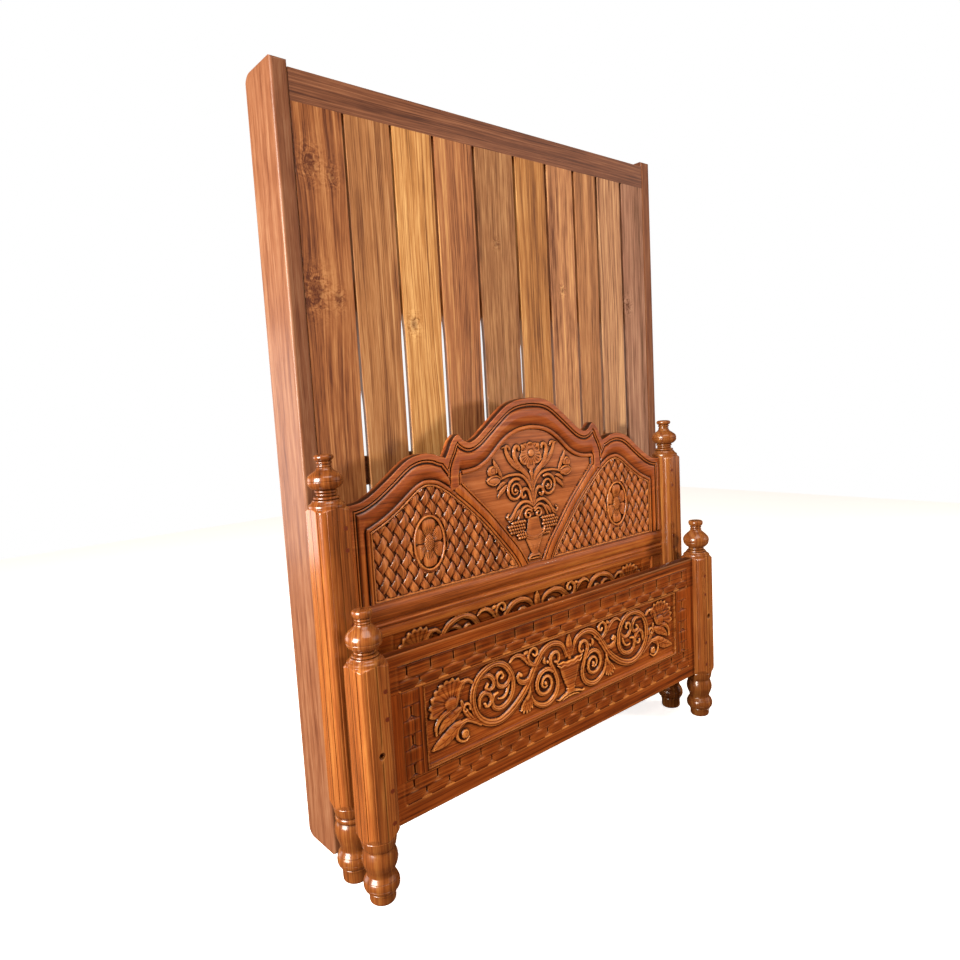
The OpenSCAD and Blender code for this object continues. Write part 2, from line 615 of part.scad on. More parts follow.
// A carved scroll: a band round c from radius r0 at angle a0 to r1 after the given turn
function scroll(c, r0, r1, a0, turn, w0, w1, n = 30) = concat(
    [for (i = [0:n]) let (t = i / n, r = r0 + (r1 - r0) * t + (w0 + (w1 - w0) * t) / 2)
        c + r * [cos(a0 + turn * t), sin(a0 + turn * t)]],
    [for (i = [n:-1:0]) let (t = i / n, r = r0 + (r1 - r0) * t - (w0 + (w1 - w0) * t) / 2)
        c + r * [cos(a0 + turn * t), sin(a0 + turn * t)]]);
// A carved leaf or stem through the points p, w wide in the middle and pointed at both ends
function leaf(p, w) = let (c = spline(p), n = len(c) - 1, l = [for (i = [0:n])
        beside(c, w / 2 * sin(180 * i / n))[i]], r = [for (i = [n - 1:-1:1])
        beside(c, -w / 2 * sin(180 * i / n))[i]]) concat(l, r);
// A flower of n petals round c, of radius r
module flower(c, r, n) {
    for (i = [0:n - 1]) let (t = 90 + i * 360 / n)
        polygon(oval(r / 2, r * 0.29, c + r / 2 * [cos(t), sin(t)], t, 24));
    translate(c) circle(r * 0.25);
}

// The bouquet's carving on the right of the vase
module bouquet_half() {
    polygon(scroll([70, 895], 26, 8, 120, -480, 9, 6));
    polygon(leaf([[8, 800], [20, 850], [52, 905], [80, 950], [85, 1000], [60, 1018]], 14));
    polygon(leaf([[20, 850], [70, 930], [120, 950], [165, 985]], 16));
    polygon(oval(13, 24, [152, 962], -25, 24));
    polygon(oval(10, 18, [118, 895], 30, 24));
    polygon(scroll([38, 835], 20, 7, 200, 400, 8, 5));
    for (i = [0:2], j = [0:3 - i]) translate([46 + j * 12 + i * 6, 792 - i * 11]) circle(6.5, $fn = 16);
}
vase = [[14, 678], [16, 684], [9, 690], [8, 700], [20, 728], [34, 752], [38, 768], [33, 782],
        [22, 792], [20, 804], [30, 812]];
module headboard_centre_panel() color(carving_colour) at_headboard() difference() {
    union() {
        panel(centre_opening, carve_y);
        board(board_y0 + 1, carve_y + e) {
            flower([0, 990], 45, 6);
            polygon(concat(vase, reversed(flip(vase))));
            bouquet_half();
            mirror([1, 0]) bouquet_half();
        }
    }
    corner_slot();
}

// Lower part of the headboard
hb_low_x = open_x;
hb_low_opening = [[-hb_low_x, hb_low_z], [hb_low_x, hb_low_z], [hb_low_x, hb_rail_z], [-hb_low_x, hb_rail_z]];
module lower_stile() {
    difference() {
        stile(hb_low_z, hb_rail_z);
        panel_groove(hb_low_opening);
    }
    difference() {
        for (z = [hb_low_z, hb_rail_z]) stile_tongue(z, 0);
        translate([open_x - 1, -post_s, hb_low_z]) cube([2 * post_s, 2 * post_s, hb_rail_z - hb_low_z]);
    }
}
module headboard_lower_stile_right() color(headboard_colour) at_headboard() lower_stile();
module headboard_lower_stile_left() color(headboard_colour) at_headboard() mirror([1, 0, 0]) lower_stile();
module headboard_bottom_rail() color(headboard_colour) at_headboard() difference() {
    union() {
        translate([-hb_in, board_y0, hb_foot_h + 2]) cube([2 * hb_in, board_t, hb_low_z - hb_foot_h - 2]);
        rail_tenons(hb_in, hb_tenons[2], hb_peg_z);
    }
    panel_groove(hb_low_opening);
    for (m = [0, 1]) mirror([m, 0, 0]) stile_tongue(hb_low_z, glue_gap);
}

// The running scrolls on the right of the urn, measured from the foot of the urn
module scroll_half() {
    polygon(scroll([284, 102], 74, 62, 235, 250, 17, 13));
    polygon(scroll([262, 132], 24, 8, 10, 330, 10, 6));
    polygon(scroll([306, 134], 22, 8, 170, -330, 10, 6));
    polygon(scroll([318, 84], 22, 8, 330, 330, 10, 6));
    polygon(scroll([106, 70], 48, 14, 100, -560, 13, 8));
    polygon(scroll([64, 138], 20, 8, 330, 300, 9, 6));
    polygon(scroll([146, 168], 18, 7, 200, -320, 9, 6));
    polygon(leaf([[4, 120], [30, 168], [84, 186], [130, 158], [190, 90], [250, 34], [316, 22], [372, 52]], 20));
    polygon(leaf([[205, 130], [215, 172], [252, 184], [280, 178]], 14));
    polygon(leaf([[352, 62], [392, 100], [420, 128]], 22));
    polygon(leaf([[360, 48], [410, 20], [460, 44], [498, 26]], 18));
    polygon(leaf([[380, 70], [430, 98], [468, 84], [486, 60]], 20));
    for (t = [-45:30:165]) polygon(oval(24, 13, [446, 126] + 40 * [cos(t), sin(t)], t, 20));
    polygon(oval(21, 16, [444, 124], 20, 24));
    for (t = [-120, -100, -80, -60]) polygon(oval(17, 5, [180, 40] + 18 * [cos(t), sin(t)], t, 16));
}
urn = [[52, 0], [50, 8], [22, 16], [18, 26], [34, 40], [40, 58], [36, 78], [28, 92], [46, 104], [44, 110],
       [30, 114], [14, 120], [8, 150], [0, 176]];
module running_scrolls() {
    polygon(concat(urn, reversed(flip(urn))));
    scroll_half();
    mirror([1, 0]) scroll_half();
}
module headboard_lower_panel() color(carving_colour) at_headboard() {
    panel(hb_low_opening, carve_y);
    board(board_y0 + 1, carve_y + e) translate([0, hb_rail_z - 208]) scale(hb_k) running_scrolls();
}

// Footboard

// A row of carved bricks from z0 to z1 between -x and x, the row shifted by half a brick or not
module bricks(x, z0, z1, shift) {
    n = floor(x / brick_pitch);
    for (i = [-n - 1:n]) let (a = max(-x, (i + shift) * brick_pitch + 1.5),
                              b = min(x, (i + 1 + shift) * brick_pitch - 1.5))
        if (b - a > 4) translate([a, board_y0, z0 + 1.2]) cube([b - a, 3 + e, z1 - z0 - 2.4]);
}
fb_brick_x = fb_in - 34;
fb_opening = [[-fb_open_x, fb_low_z], [fb_open_x, fb_low_z], [fb_open_x, fb_top_z], [-fb_open_x, fb_top_z]];
module fb_joints() {
    panel_groove(fb_opening);
    for (m = [0, 1], z = [fb_low_z, fb_top_z]) mirror([m, 0, 0]) fb_stile_tongue(z, glue_gap);
}
module fb_stile_tongue(z, grow) board(tenon_y - 4 - grow, tenon_y + 4 + grow)
    translate([fb_open_x + 60, z]) square([40 + 2 * grow, 28 + 2 * grow], center = true);
module footboard_top_rail() color(footboard_colour) at_footboard() difference() {
    union() {
        translate([-fb_in, board_y0 + 3, fb_top_z]) cube([2 * fb_in, board_t - 3, fb_top_rail_h]);
        translate([-fb_in, board_y0, fb_body_top - 32]) cube([2 * fb_in, 3 + e, 32]);
        bricks(fb_brick_x, fb_body_top - 70, fb_body_top - 32, 0);
        bricks(fb_brick_x, fb_top_z + 3, fb_body_top - 70, 0.5);
        rail_tenons(fb_in, fb_tenons[0], fb_peg_z);
    }
    fb_joints();
}
module footboard_bottom_rail() color(footboard_colour) at_footboard() difference() {
    union() {
        translate([-fb_in, board_y0 + 3, fb_foot_h]) cube([2 * fb_in, board_t - 3, fb_bottom_rail_h]);
        translate([-fb_in, board_y0, fb_foot_h]) cube([2 * fb_in, 3 + e, fb_bottom_rail_h - 61]);
        bricks(fb_brick_x, fb_low_z - 61, fb_low_z - 34, 0.5);
        bricks(fb_brick_x, fb_low_z - 34, fb_low_z - 1, 0);
        rail_tenons(fb_in, fb_tenons[2], fb_peg_z);
    }
    fb_joints();
}
module fb_stile() {
    h = fb_top_z - fb_low_z;
    difference() {
        union() {
            translate([fb_open_x, board_y0 + 3, fb_low_z]) cube([fb_in - fb_open_x, board_t - 3, h]);
            for (i = [0:5]) translate([fb_open_x + 8, board_y0, fb_low_z + 1.5 + i * h / 6])
                cube([fb_in - fb_open_x - 42, 3 + e, h / 6 - 3]);
        }
        panel_groove(fb_opening);
    }
    difference() {
        for (z = [fb_low_z, fb_top_z]) fb_stile_tongue(z, 0);
        translate([fb_open_x - 1, -post_s, fb_low_z]) cube([2 * post_s, 2 * post_s, h]);
    }
    rail_tenons(fb_in, fb_tenons[1], fb_peg_z, [1]);
}
module footboard_stile_right() color(footboard_colour) at_footboard() fb_stile();
module footboard_stile_left() color(footboard_colour) at_footboard() mirror([1, 0, 0]) fb_stile();
module footboard_scroll_panel() color(carving_colour) at_footboard() {
    panel(fb_opening, carve_y);
    board(board_y0 + 1, carve_y + e) translate([0, fb_low_z + 23]) scale(fb_k * 0.98) running_scrolls();
}
module footboard_panel_bead() color(footboard_colour) at_footboard()
    board(board_y0, carve_y) difference() {
        polygon(grown(fb_opening, -glue_gap));
        polygon(grown(fb_opening, -bead_w));
    }

// Deck nodes

module side_rail_left() color(rail_colour) at_deck() side_rail();
module side_rail_right() color(rail_colour) at_deck()
    translate([deck_w, 0, 0]) mirror([1, 0, 0]) side_rail();
module foot_cross_rail() cross_rail(cross_z[0]);
module head_cross_rail() cross_rail(cross_z[1]);
module bearer_foot() bearer(bearer_z[0]);
module bearer_middle() bearer(bearer_z[1]);
module bearer_head() bearer(bearer_z[2]);
module headboard_post_left() headboard_post(-1);
module headboard_post_right() headboard_post(1);
module footboard_post_left() footboard_post(-1);
module footboard_post_right() footboard_post(1);

plank(0);  // plank_01
plank(1);  // plank_02
plank(2);  // plank_03
plank(3);  // plank_04
plank(4);  // plank_05
plank(5);  // plank_06
plank(6);  // plank_07
plank(7);  // plank_08
plank(8);  // plank_09
plank(9);  // plank_10
side_rail_left();
side_rail_right();
head_cross_rail();
foot_cross_rail();
bearer_head();
bearer_middle();
bearer_foot();
deck_screws();
headboard_post_left();
headboard_post_right();
headboard_crest_centre();
headboard_crest_left();
headboard_crest_right();
headboard_brace_left();
headboard_brace_right();
headboard_stile_left();
headboard_stile_right();
headboard_middle_rail();
headboard_weave_panel_left();
headboard_weave_panel_right();
headboard_medallion_left();
headboard_medallion_right();
headboard_centre_panel();
headboard_bottom_rail();
headboard_lower_stile_left();
headboard_lower_stile_right();
headboard_lower_panel();
headboard_pegs();
footboard_post_left();
footboard_post_right();
footboard_top_rail();
footboard_bottom_rail();
footboard_stile_left();
footboard_stile_right();
footboard_scroll_panel();
footboard_panel_bead();
footboard_pegs();
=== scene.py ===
"""Looks of the carved teak bed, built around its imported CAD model."""

import math

import bpy
import numpy as np
from bpy.props import FloatProperty, FloatVectorProperty, PointerProperty
from mathutils import Matrix, Vector
from mathutils.geometry import tessellate_polygon


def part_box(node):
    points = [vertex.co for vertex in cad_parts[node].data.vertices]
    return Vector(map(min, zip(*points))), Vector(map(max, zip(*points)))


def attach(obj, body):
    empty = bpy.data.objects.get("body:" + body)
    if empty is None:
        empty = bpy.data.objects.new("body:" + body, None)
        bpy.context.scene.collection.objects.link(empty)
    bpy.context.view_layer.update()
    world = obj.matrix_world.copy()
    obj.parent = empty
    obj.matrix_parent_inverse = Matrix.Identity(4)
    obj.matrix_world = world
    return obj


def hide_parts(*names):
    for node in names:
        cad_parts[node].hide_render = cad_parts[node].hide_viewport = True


bl_info = {
    "name": "Carved Teak Bed",
    "version": (1, 0, 0),
    "blender": (4, 5, 0),
    "location": "View3D > Sidebar > Teak Bed",
    "description": "Builds the looks of a carved teak bed around its CAD frame",
    "category": "Object",
}

MM = 0.001

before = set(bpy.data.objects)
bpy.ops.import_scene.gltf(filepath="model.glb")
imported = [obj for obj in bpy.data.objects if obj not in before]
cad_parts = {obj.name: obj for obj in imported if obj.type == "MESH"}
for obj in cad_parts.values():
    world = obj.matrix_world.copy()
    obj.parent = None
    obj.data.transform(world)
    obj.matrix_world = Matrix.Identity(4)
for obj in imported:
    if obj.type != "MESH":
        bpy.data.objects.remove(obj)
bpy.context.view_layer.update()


def span(node, axis):
    """How far a CAD node reaches along an axis, in metres."""
    lo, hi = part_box(node)
    return hi[axis] - lo[axis]


# Sizes and colours


def linear(code):
    """A colour given as sRGB hex, as linear red, green, blue and alpha."""
    c = [int(code[i : i + 2], 16) / 255 for i in (1, 3, 5)]
    return [x / 12.92 if x <= 0.04045 else ((x + 0.055) / 1.055) ** 2.4 for x in c] + [1.0]


# Teak, stained brown and clear-coated. Planed boards show long grain and keep a thin, soft coat; turned
# posts are the glossiest; moulded boards are darker in their quirks and carved ones darkest in their
# hollows, by gathered stain and painted shade, and carved ones are rubbed pale on their crowns, which
# also carry a painted highlight.
WOODS = {
    "plank_01": ("Plank 1", "planed", "#4C2614", "#86522D", "#AE7C4D"),
    "plank_02": ("Plank 2", "planed", "#542D18", "#95653B", "#BA9061"),
    "plank_03": ("Plank 3", "planed", "#5B351B", "#AB7841", "#D5AC70"),
    "plank_04": ("Plank 4", "planed", "#4D2A19", "#97623C", "#C0925C"),
    "plank_05": ("Plank 5", "planed", "#462613", "#855A37", "#AC8357"),
    "plank_06": ("Plank 6", "planed", "#502B16", "#996736", "#C1945B"),
    "plank_07": ("Plank 7", "planed", "#542E1B", "#A3724C", "#CDA06A"),
    "plank_08": ("Plank 8", "planed", "#4C2B1D", "#96663F", "#C09263"),
    "plank_09": ("Plank 9", "planed", "#53301F", "#A17654", "#CAA477"),
    "plank_10": ("Plank 10", "planed", "#462C13", "#88604B", "#AC896D"),
    "side_rail": ("Side rails", "planed", "#4A2515", "#70472F", "#87644A"),
    "cross_rail": ("Cross rails and bearers", "planed", "#321B15", "#663F2B", "#916346"),
    "post": ("Posts", "turned", "#3B1B09", "#82471E", "#AC753A"),
    "crest": ("Crest", "moulded", "#411806", "#8D441D", "#B87139"),
    "stile": ("Stiles and braces", "moulded", "#461A05", "#8F4618", "#B96F31"),
    "head_rail": ("Headboard's rails", "moulded", "#461C08", "#8E4A1E", "#BA7434"),
    "weave": ("Basket weave", "carved", "#461C09", "#914B25", "#BA743F"),
    "medallion": ("Medallions", "carved", "#55240F", "#A25A2B", "#C47F44"),
    "bouquet": ("Bouquet panel", "carved", "#542411", "#A05B2E", "#C38251"),
    "scrolls": ("Footboard's scrolls", "carved", "#431705", "#8D4315", "#BC6F2E"),
    "low_scrolls": ("Headboard's lower scrolls", "carved", "#421605", "#894015", "#B4682C"),
    "bricks": ("Footboard's rails", "carved", "#341003", "#72320B", "#99501D"),
    "blocks": ("Footboard's stiles", "carved", "#3A1302", "#7A350A", "#A4541C"),
    "panel_bead": ("Panel bead", "moulded", "#542409", "#874B1C", "#A56A32"),
}
TONES = ("dark", "middle", "light")
SINGLE_COLOURS = {
    "knot": ("Knots", "Heart of a knot in a plank", "#50260F"),
    # the hollows' colour is stain that gathers there, and painted shade
    "hollow": ("Hollows", "Stain that gathers in the carving's hollows", "#1E0802"),
    # the crowns' colour is rubbed teak, and a painted highlight
    "crown": ("Crowns", "Teak rubbed pale on the carving's crowns", "#E09A50"),
    "peg": ("Pegs", "End grain of the pegs, which takes the stain darkest", "#5C2612"),
    "steel": ("Screws", "Bright zinc-plated steel", "#8C877F"),
    "floor": ("Floor's reflection", "Warm light that the floor gives back to the bed", "#6A4A34"),
    "room": ("Room's reflection", "Warm light that the room gives back to the bed", "#CE9866"),
}
SIZES = {
    "plank_arris": ("Plank arris", "Radius of a plank's long edges", 1.4),
    "post_width": ("Post width", "Width of a post's square length", span("headboard_post_left", 0) / MM),
    "post_corner": ("Post corner", "Radius of the quarter round on a post's corners, with its quirk", 18.0),
    "post_quirk": ("Post quirk", "Depth of the groove beside a post's quarter round", 2.5),
    "peg_radius": ("Peg radius", "Radius of the pegs that lock the tenons", 5.5),
    "screw_radius": ("Screw shank", "Radius of a deck screw's shank", 2.4),
    "screw_head": ("Screw head", "Radius of a deck screw's head", 4.2),
    "bolt_height": ("Bolt height", "Height of the bed bolts' holes above the floor", 368.0),
    "bolt_radius": ("Bolt hole", "Radius of a bed bolt's hole", 5.5),
    "bolt_mouth": ("Bolt mouth", "Radius of the bolt hole's mouth", 11.0),
    "bolt_throat": ("Bolt throat", "Radius at the foot of the bolt hole's mouth", 5.6),
    "mouth_depth": ("Mouth depth", "Depth of the bolt hole's mouth", 3.0),
    "edge_flat": ("Edge flat", "Width of the flat on the headboard's edge", 15.6),
    "weave_roll": ("Weave roll", "Width of the roll round the basket weave", 13.0),
    "centre_roll": ("Centre roll", "Width of the roll round the bouquet panel", 15.0),
    "brick_pitch": ("Brick length", "Distance from one brick's end to the next", 71.7),
    "chip_width": ("Chip half-width", "Half the width of the chip cut at a brick's end", 17.0),
    "chip_height": ("Chip height", "Height of the chip cut at a brick's end", 10.0),
    "bead_width": ("Panel bead", "Width of the bead round the footboard's panel", 8.0),
}


class BedColours(bpy.types.PropertyGroup):
    """The stain of each part of the bed, as the dark, middle and light tone of its grain"""

    __annotations__ = {
        f"{wood}_{tone}": FloatVectorProperty(
            name=f"{label}, {tone}", description=f"The {tone} tone of the {how} teak's grain",
            subtype="COLOR", size=4, min=0.0, max=1.0, default=linear(code))
        for wood, (label, how, *codes) in WOODS.items() for tone, code in zip(TONES, codes)
    } | {
        key: FloatVectorProperty(name=label, description=about, subtype="COLOR", size=4, min=0.0, max=1.0,
                                 default=linear(code))
        for key, (label, about, code) in SINGLE_COLOURS.items()
    }


class BedSizes(bpy.types.PropertyGroup):
    """The sizes of the bed's details"""

    __annotations__ = {
        key: FloatProperty(name=label, description=about, unit="LENGTH", subtype="DISTANCE", min=0.0,
                           precision=4, default=value * MM)
        for key, (label, about, value) in SIZES.items()
    }


def size(key):
    """One of the bed's sizes, in millimetres."""
    return getattr(bpy.context.scene.bed_sizes, key) / MM


def colour_of(key):
    """One of the bed's colours, linear."""
    return tuple(getattr(bpy.context.scene.bed_colours, key))


# Small geometry helpers


def spline(points, steps=8):
    """A smooth curve through the points, with the given number of steps between two of them."""
    p = np.array(points, float)
    q = np.vstack([p[:1], p, p[-1:]])
    t = np.linspace(0, 1, steps, endpoint=False)[:, None]
    out = []
    for i in range(len(p) - 1):
        a, b, c, d = q[i : i + 4]
        out.append(0.5 * (2 * b + (c - a) * t + (2 * a - 5 * b + 4 * c - d) * t**2
                          + (3 * b - a - 3 * c + d) * t**3))
    return np.vstack(out + [p[-1:]])


def arc(cx, cy, r, a0, a1, n=8):
    """Points on an arc about a centre, between two angles in degrees."""
    t = np.radians(np.linspace(a0, a1, n))
    return np.stack([cx + r * np.cos(t), cy + r * np.sin(t)], 1)


def smoothstep(x, lo, hi):
    """A smooth rise from 0 at lo to 1 at hi."""
    t = np.clip((x - lo) / (hi - lo), 0, 1)
    return t * t * (3 - 2 * t)


def make_mesh(name, verts, faces, material, replaces=(), sharp=35, recess=None):
    """A piece of the bed: its vertices are in the shared frame, in metres, and recess gives each one its
    share of painted shade, and of painted highlight where it is negative."""
    verts = np.asarray(verts, np.float32)
    mesh = bpy.data.meshes.new(name)
    mesh.vertices.add(len(verts))
    mesh.vertices.foreach_set("co", verts.ravel())
    sizes = np.array([len(f) for f in faces], np.int32)
    flat = np.concatenate([np.asarray(f, np.int32) for f in faces])
    mesh.loops.add(len(flat))
    mesh.loops.foreach_set("vertex_index", flat)
    mesh.polygons.add(len(sizes))
    mesh.polygons.foreach_set("loop_start", np.r_[0, np.cumsum(sizes)[:-1]].astype(np.int32))
    mesh.polygons.foreach_set("loop_total", sizes)
    mesh.polygons.foreach_set("use_smooth", np.ones(len(sizes), bool))
    if recess is not None:
        layer = mesh.attributes.new("recess", "FLOAT", "POINT")
        layer.data.foreach_set("value", np.asarray(recess, np.float32).ravel())
    mesh.update()
    mesh.validate()
    mesh.set_sharp_from_angle(angle=math.radians(sharp))
    mesh.materials.append(material)
    obj = bpy.data.objects.new(name, mesh)
    bpy.context.scene.collection.objects.link(obj)
    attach(obj, "root")
    if replaces:
        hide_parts(*replaces)
    return obj


def grid_faces(n, m, wrap_n=False, wrap_m=False, flip=False):
    """Quads over an n by m grid of vertices."""
    i = np.arange(n if wrap_n else n - 1)
    j = np.arange(m if wrap_m else m - 1)
    a, b = np.meshgrid(i, j, indexing="ij")
    a2, b2 = (a + 1) % n, (b + 1) % m
    q = np.stack([a * m + b, a2 * m + b, a2 * m + b2, a * m + b2], -1).reshape(-1, 4)
    return q[:, ::-1] if flip else q


# Materials

MATH = "ShaderNodeMath"
VECTOR = "ShaderNodeVectorMath"
SPLIT = "ShaderNodeSeparateXYZ"
JOIN = "ShaderNodeCombineXYZ"
NOISE = "ShaderNodeTexNoise"


def add(tree, kind, inputs=(), operation=None, **settings):
    """Adds a node with its settings and links. An input is a value, a socket, or a node, which gives its
    first output."""
    node = tree.nodes.new(kind)
    if operation:
        node.operation = operation
    for title, value in settings.items():
        setattr(node, title, value)
    for at, value in inputs.items() if isinstance(inputs, dict) else enumerate(inputs):
        if isinstance(value, bpy.types.Node):
            value = value.outputs[0]
        if isinstance(value, bpy.types.NodeSocket):
            tree.links.new(value, node.inputs[at])
        else:
            node.inputs[at].default_value = value
    return node


# Teak's patterns: how far one runs across and along the grain in millimetres, then its detail, roughness
# and distortion. Real pores are 0.2 mm wide, too fine to show in the render, so they are drawn at 0.77 mm.
CLOUDS = {
    "wander": (250, 1111, 2.0, 0.5, 0.0),
    "broad": (66.7, 1250, 1.5, 0.5, 0.0),
    "flecks": (14.3, 111, 3.0, 0.62, 0.0),
    "pores": (0.77, 22.2, 1.0, 0.5, 0.0),
    "curl": (16.7, 13.3, 3.0, 0.6, 1.4),
    "gloss": (71.4, 125, 2.0, 0.5, 0.0),
}
# Its growth rings, dark veins and fine lines: width and length in millimetres, detail and roughness
LINES = {
    "rings": (10.87, 1667, 4.0, 0.72),
    "fine": (2.326, 200, 2.0, 0.6),
    "vein": (4.762, 909, 2.0, 0.5),
}


def teak(wood, grain, seed, figure, knots=(), title="", recess=0.0, gloss=0.3, coat=0.35, shine=0.35,
         streak=1.0, mottle=1.0, crown=0.0, slant=0.8):
    """Stained and clear-coated teak with its grain along X or Z: straight lines that wander a little, dark
    veins, pores that drink the stain, and a coat that lets the hollows stay dull. Knots are (x, z, size)
    on the front, in metres. Figure is how far the lines wander, streak and mottle how strong the lines and
    the flecks are, and recess and crown how strongly the hollows take stain and painted shade and the
    crowns take a rubbed pale tone and a painted highlight."""
    dark, mid, light = (colour_of(f"{wood}_{tone}") for tone in TONES)
    material = bpy.data.materials.new(f"{WOODS[wood][1]}_teak_{title or wood}")
    material.use_nodes = True
    tree = material.node_tree
    tree.nodes.clear()
    place = add(tree, "ShaderNodeTexCoord").outputs["Object"]
    own = add(tree, SPLIT, (place,)).outputs
    turned = add(tree, JOIN, [own[k] for k in ((2, 1, 0) if grain == "X" else (0, 1, 2))])
    at = add(tree, VECTOR, (turned, (seed * 1.7, seed * 0.9, seed * 3.1)), "ADD")
    cloud = {}
    for name, (across, along, detail, rough, twist) in CLOUDS.items():
        if name == "curl" and not knots:
            continue
        scale = (1 / (across * MM), 1 / (across * MM), 1 / (along * MM))
        spread = add(tree, VECTOR, (at, scale), "MULTIPLY")
        cloud[name] = add(tree, NOISE, {"Vector": spread, "Scale": 1.0, "Detail": detail, "Roughness": rough,
                                        "Distortion": twist})
    # the lines run straight, wander a little and close in rings round the knots
    where = add(tree, SPLIT, (at,)).outputs
    line = add(tree, MATH, (where[0], add(tree, MATH, (where[1], slant), "MULTIPLY")), "ADD")
    line = add(tree, MATH, (line, add(tree, MATH, (cloud["wander"], 0.05 * figure), "MULTIPLY")), "ADD")
    heart = halo = None
    for x, z, reach in knots:
        dx = add(tree, MATH, (add(tree, MATH, (own[0], x), "SUBTRACT"), reach), "DIVIDE")
        dz = add(tree, MATH, (add(tree, MATH, (own[2], z), "SUBTRACT"), reach * 1.5), "DIVIDE")
        across = add(tree, MATH, (dx, dx), "MULTIPLY")
        off = add(tree, MATH, (across, add(tree, MATH, (dz, dz), "MULTIPLY")), "ADD")
        push = add(tree, MATH, (dx, -reach), "MULTIPLY")
        flow = add(tree, MATH, (push, add(tree, MATH, (off, 0.6), "ADD")), "DIVIDE")
        core = add(tree, MATH, (math.e, add(tree, MATH, (off, -0.9), "MULTIPLY")), "POWER")
        ring = add(tree, MATH, (add(tree, MATH, (off,), "SQRT"), reach), "MULTIPLY")
        turn = add(tree, MATH, (ring, core), "MULTIPLY")
        line = add(tree, MATH, (add(tree, MATH, (line, flow), "ADD"), turn), "ADD")
        glow = add(tree, MATH, (math.e, add(tree, MATH, (off, -0.22), "MULTIPLY")), "POWER")
        heart = core if heart is None else add(tree, MATH, (heart, core), "MAXIMUM")
        halo = glow if halo is None else add(tree, MATH, (halo, glow), "MAXIMUM")
    for name, (width, length, detail, rough) in LINES.items():
        over = add(tree, MATH, (line, 1 / (width * MM)), "MULTIPLY")
        run = add(tree, MATH, (where[2], 1 / (length * MM)), "MULTIPLY")
        spread = add(tree, JOIN, (over, where[1] if name == "fine" else 0.0, run))
        cloud[name] = add(tree, NOISE, {"Vector": spread, "Scale": 1.0, "Detail": detail, "Roughness": rough})
    shares = {"rings": 1.1 * streak, "fine": 0.9 * streak, "broad": 0.5, "flecks": 0.35 * mottle}
    tone = 0.5 - 0.5 * sum(shares.values())
    for name, share in shares.items():
        tone = add(tree, MATH, (add(tree, MATH, (cloud[name], share), "MULTIPLY"), tone), "ADD")
    vein = add(tree, MATH, (cloud["vein"], 0.55), "SUBTRACT", use_clamp=True)
    vein = add(tree, MATH, (add(tree, MATH, (vein, -5.0), "MULTIPLY"), -1.0), "MAXIMUM")
    tone = add(tree, MATH, (add(tree, MATH, (vein, 0.22 * streak), "MULTIPLY"), tone), "ADD")
    if knots:
        curl = add(tree, MATH, (add(tree, MATH, (cloud["curl"], 0.47), "SUBTRACT"), 2.2), "MULTIPLY")
        tone = add(tree, MATH, (add(tree, MATH, (curl, halo), "MULTIPLY"), tone), "ADD")
    ramp = add(tree, "ShaderNodeValToRGB", (tone,))
    ramp.color_ramp.elements.new(0.5)
    for element, position, shade in zip(ramp.color_ramp.elements, (0.22, 0.5, 0.8), (dark, mid, light)):
        element.position = position
        element.color = shade
    pore = add(tree, MATH, (cloud["pores"], 0.62), "SUBTRACT", use_clamp=True)
    pore = add(tree, MATH, (pore, 3.2), "MULTIPLY", use_clamp=True)
    # what lies over the grain: stain in the pores, the knots' hearts, stain and painted shade in the hollows,
    # rubbing and painted highlight on the crowns; how much of each, and its colour
    layers = [(add(tree, MATH, (pore, 0.45), "MULTIPLY"), dark)]
    if knots:
        layers.append((add(tree, MATH, (heart, 0.7), "MULTIPLY"), colour_of("knot")))
    if recess:
        deep = add(tree, "ShaderNodeAttribute", attribute_name="recess").outputs["Fac"]
        dull = add(tree, MATH, (deep, 1.6), "MULTIPLY", use_clamp=True)
        coat = add(tree, MATH, (add(tree, MATH, (1.0, dull), "SUBTRACT"), coat), "MULTIPLY")
        # painted shade, with gathered stain, in the hollows; painted highlight, with rubbing, on the crowns
        layers.append((add(tree, MATH, (deep, recess), "MULTIPLY", use_clamp=True), colour_of("hollow")))
        layers.append((add(tree, MATH, (deep, -crown), "MULTIPLY", use_clamp=True), colour_of("crown")))
    colour = ramp.outputs[0]
    for share, shade in layers:
        colour = add(tree, "ShaderNodeMix", {0: share, 6: colour, 7: shade}, data_type="RGBA").outputs[2]
    fine = add(tree, MATH, (cloud["fine"], 0.5), "MULTIPLY")
    height = add(tree, MATH, (fine, add(tree, MATH, (pore, 0.8), "MULTIPLY")), "SUBTRACT")
    bump = add(tree, "ShaderNodeBump", {"Strength": 0.12, "Distance": 0.0004, "Height": height})
    rough = add(tree, MATH, (add(tree, MATH, (cloud["gloss"], 0.12), "MULTIPLY"), gloss - 0.06), "ADD")
    shader = add(tree, "ShaderNodeBsdfPrincipled", {
        "Base Color": colour, "Roughness": rough, "Specular IOR Level": shine, "Coat Weight": coat,
        "Coat Roughness": 0.14, "Coat IOR": 1.5, "Normal": bump})
    add(tree, "ShaderNodeOutputMaterial", {"Surface": shader})
    return material


def plain(name, colour, rough, metal=0.0):
    """A material of one colour."""
    material = bpy.data.materials.new(name)
    material.use_nodes = True
    tree = material.node_tree
    tree.nodes.clear()
    shader = add(tree, "ShaderNodeBsdfPrincipled", {"Base Color": colour, "Roughness": rough,
                                                    "Metallic": metal})
    add(tree, "ShaderNodeOutputMaterial", {"Surface": shader})
    return material


def paint(node, material):
    """Shows a CAD node as it is, in the material."""
    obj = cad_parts[node]
    obj.data.materials.clear()
    obj.data.materials.append(material)
    return obj


# Geometry trees


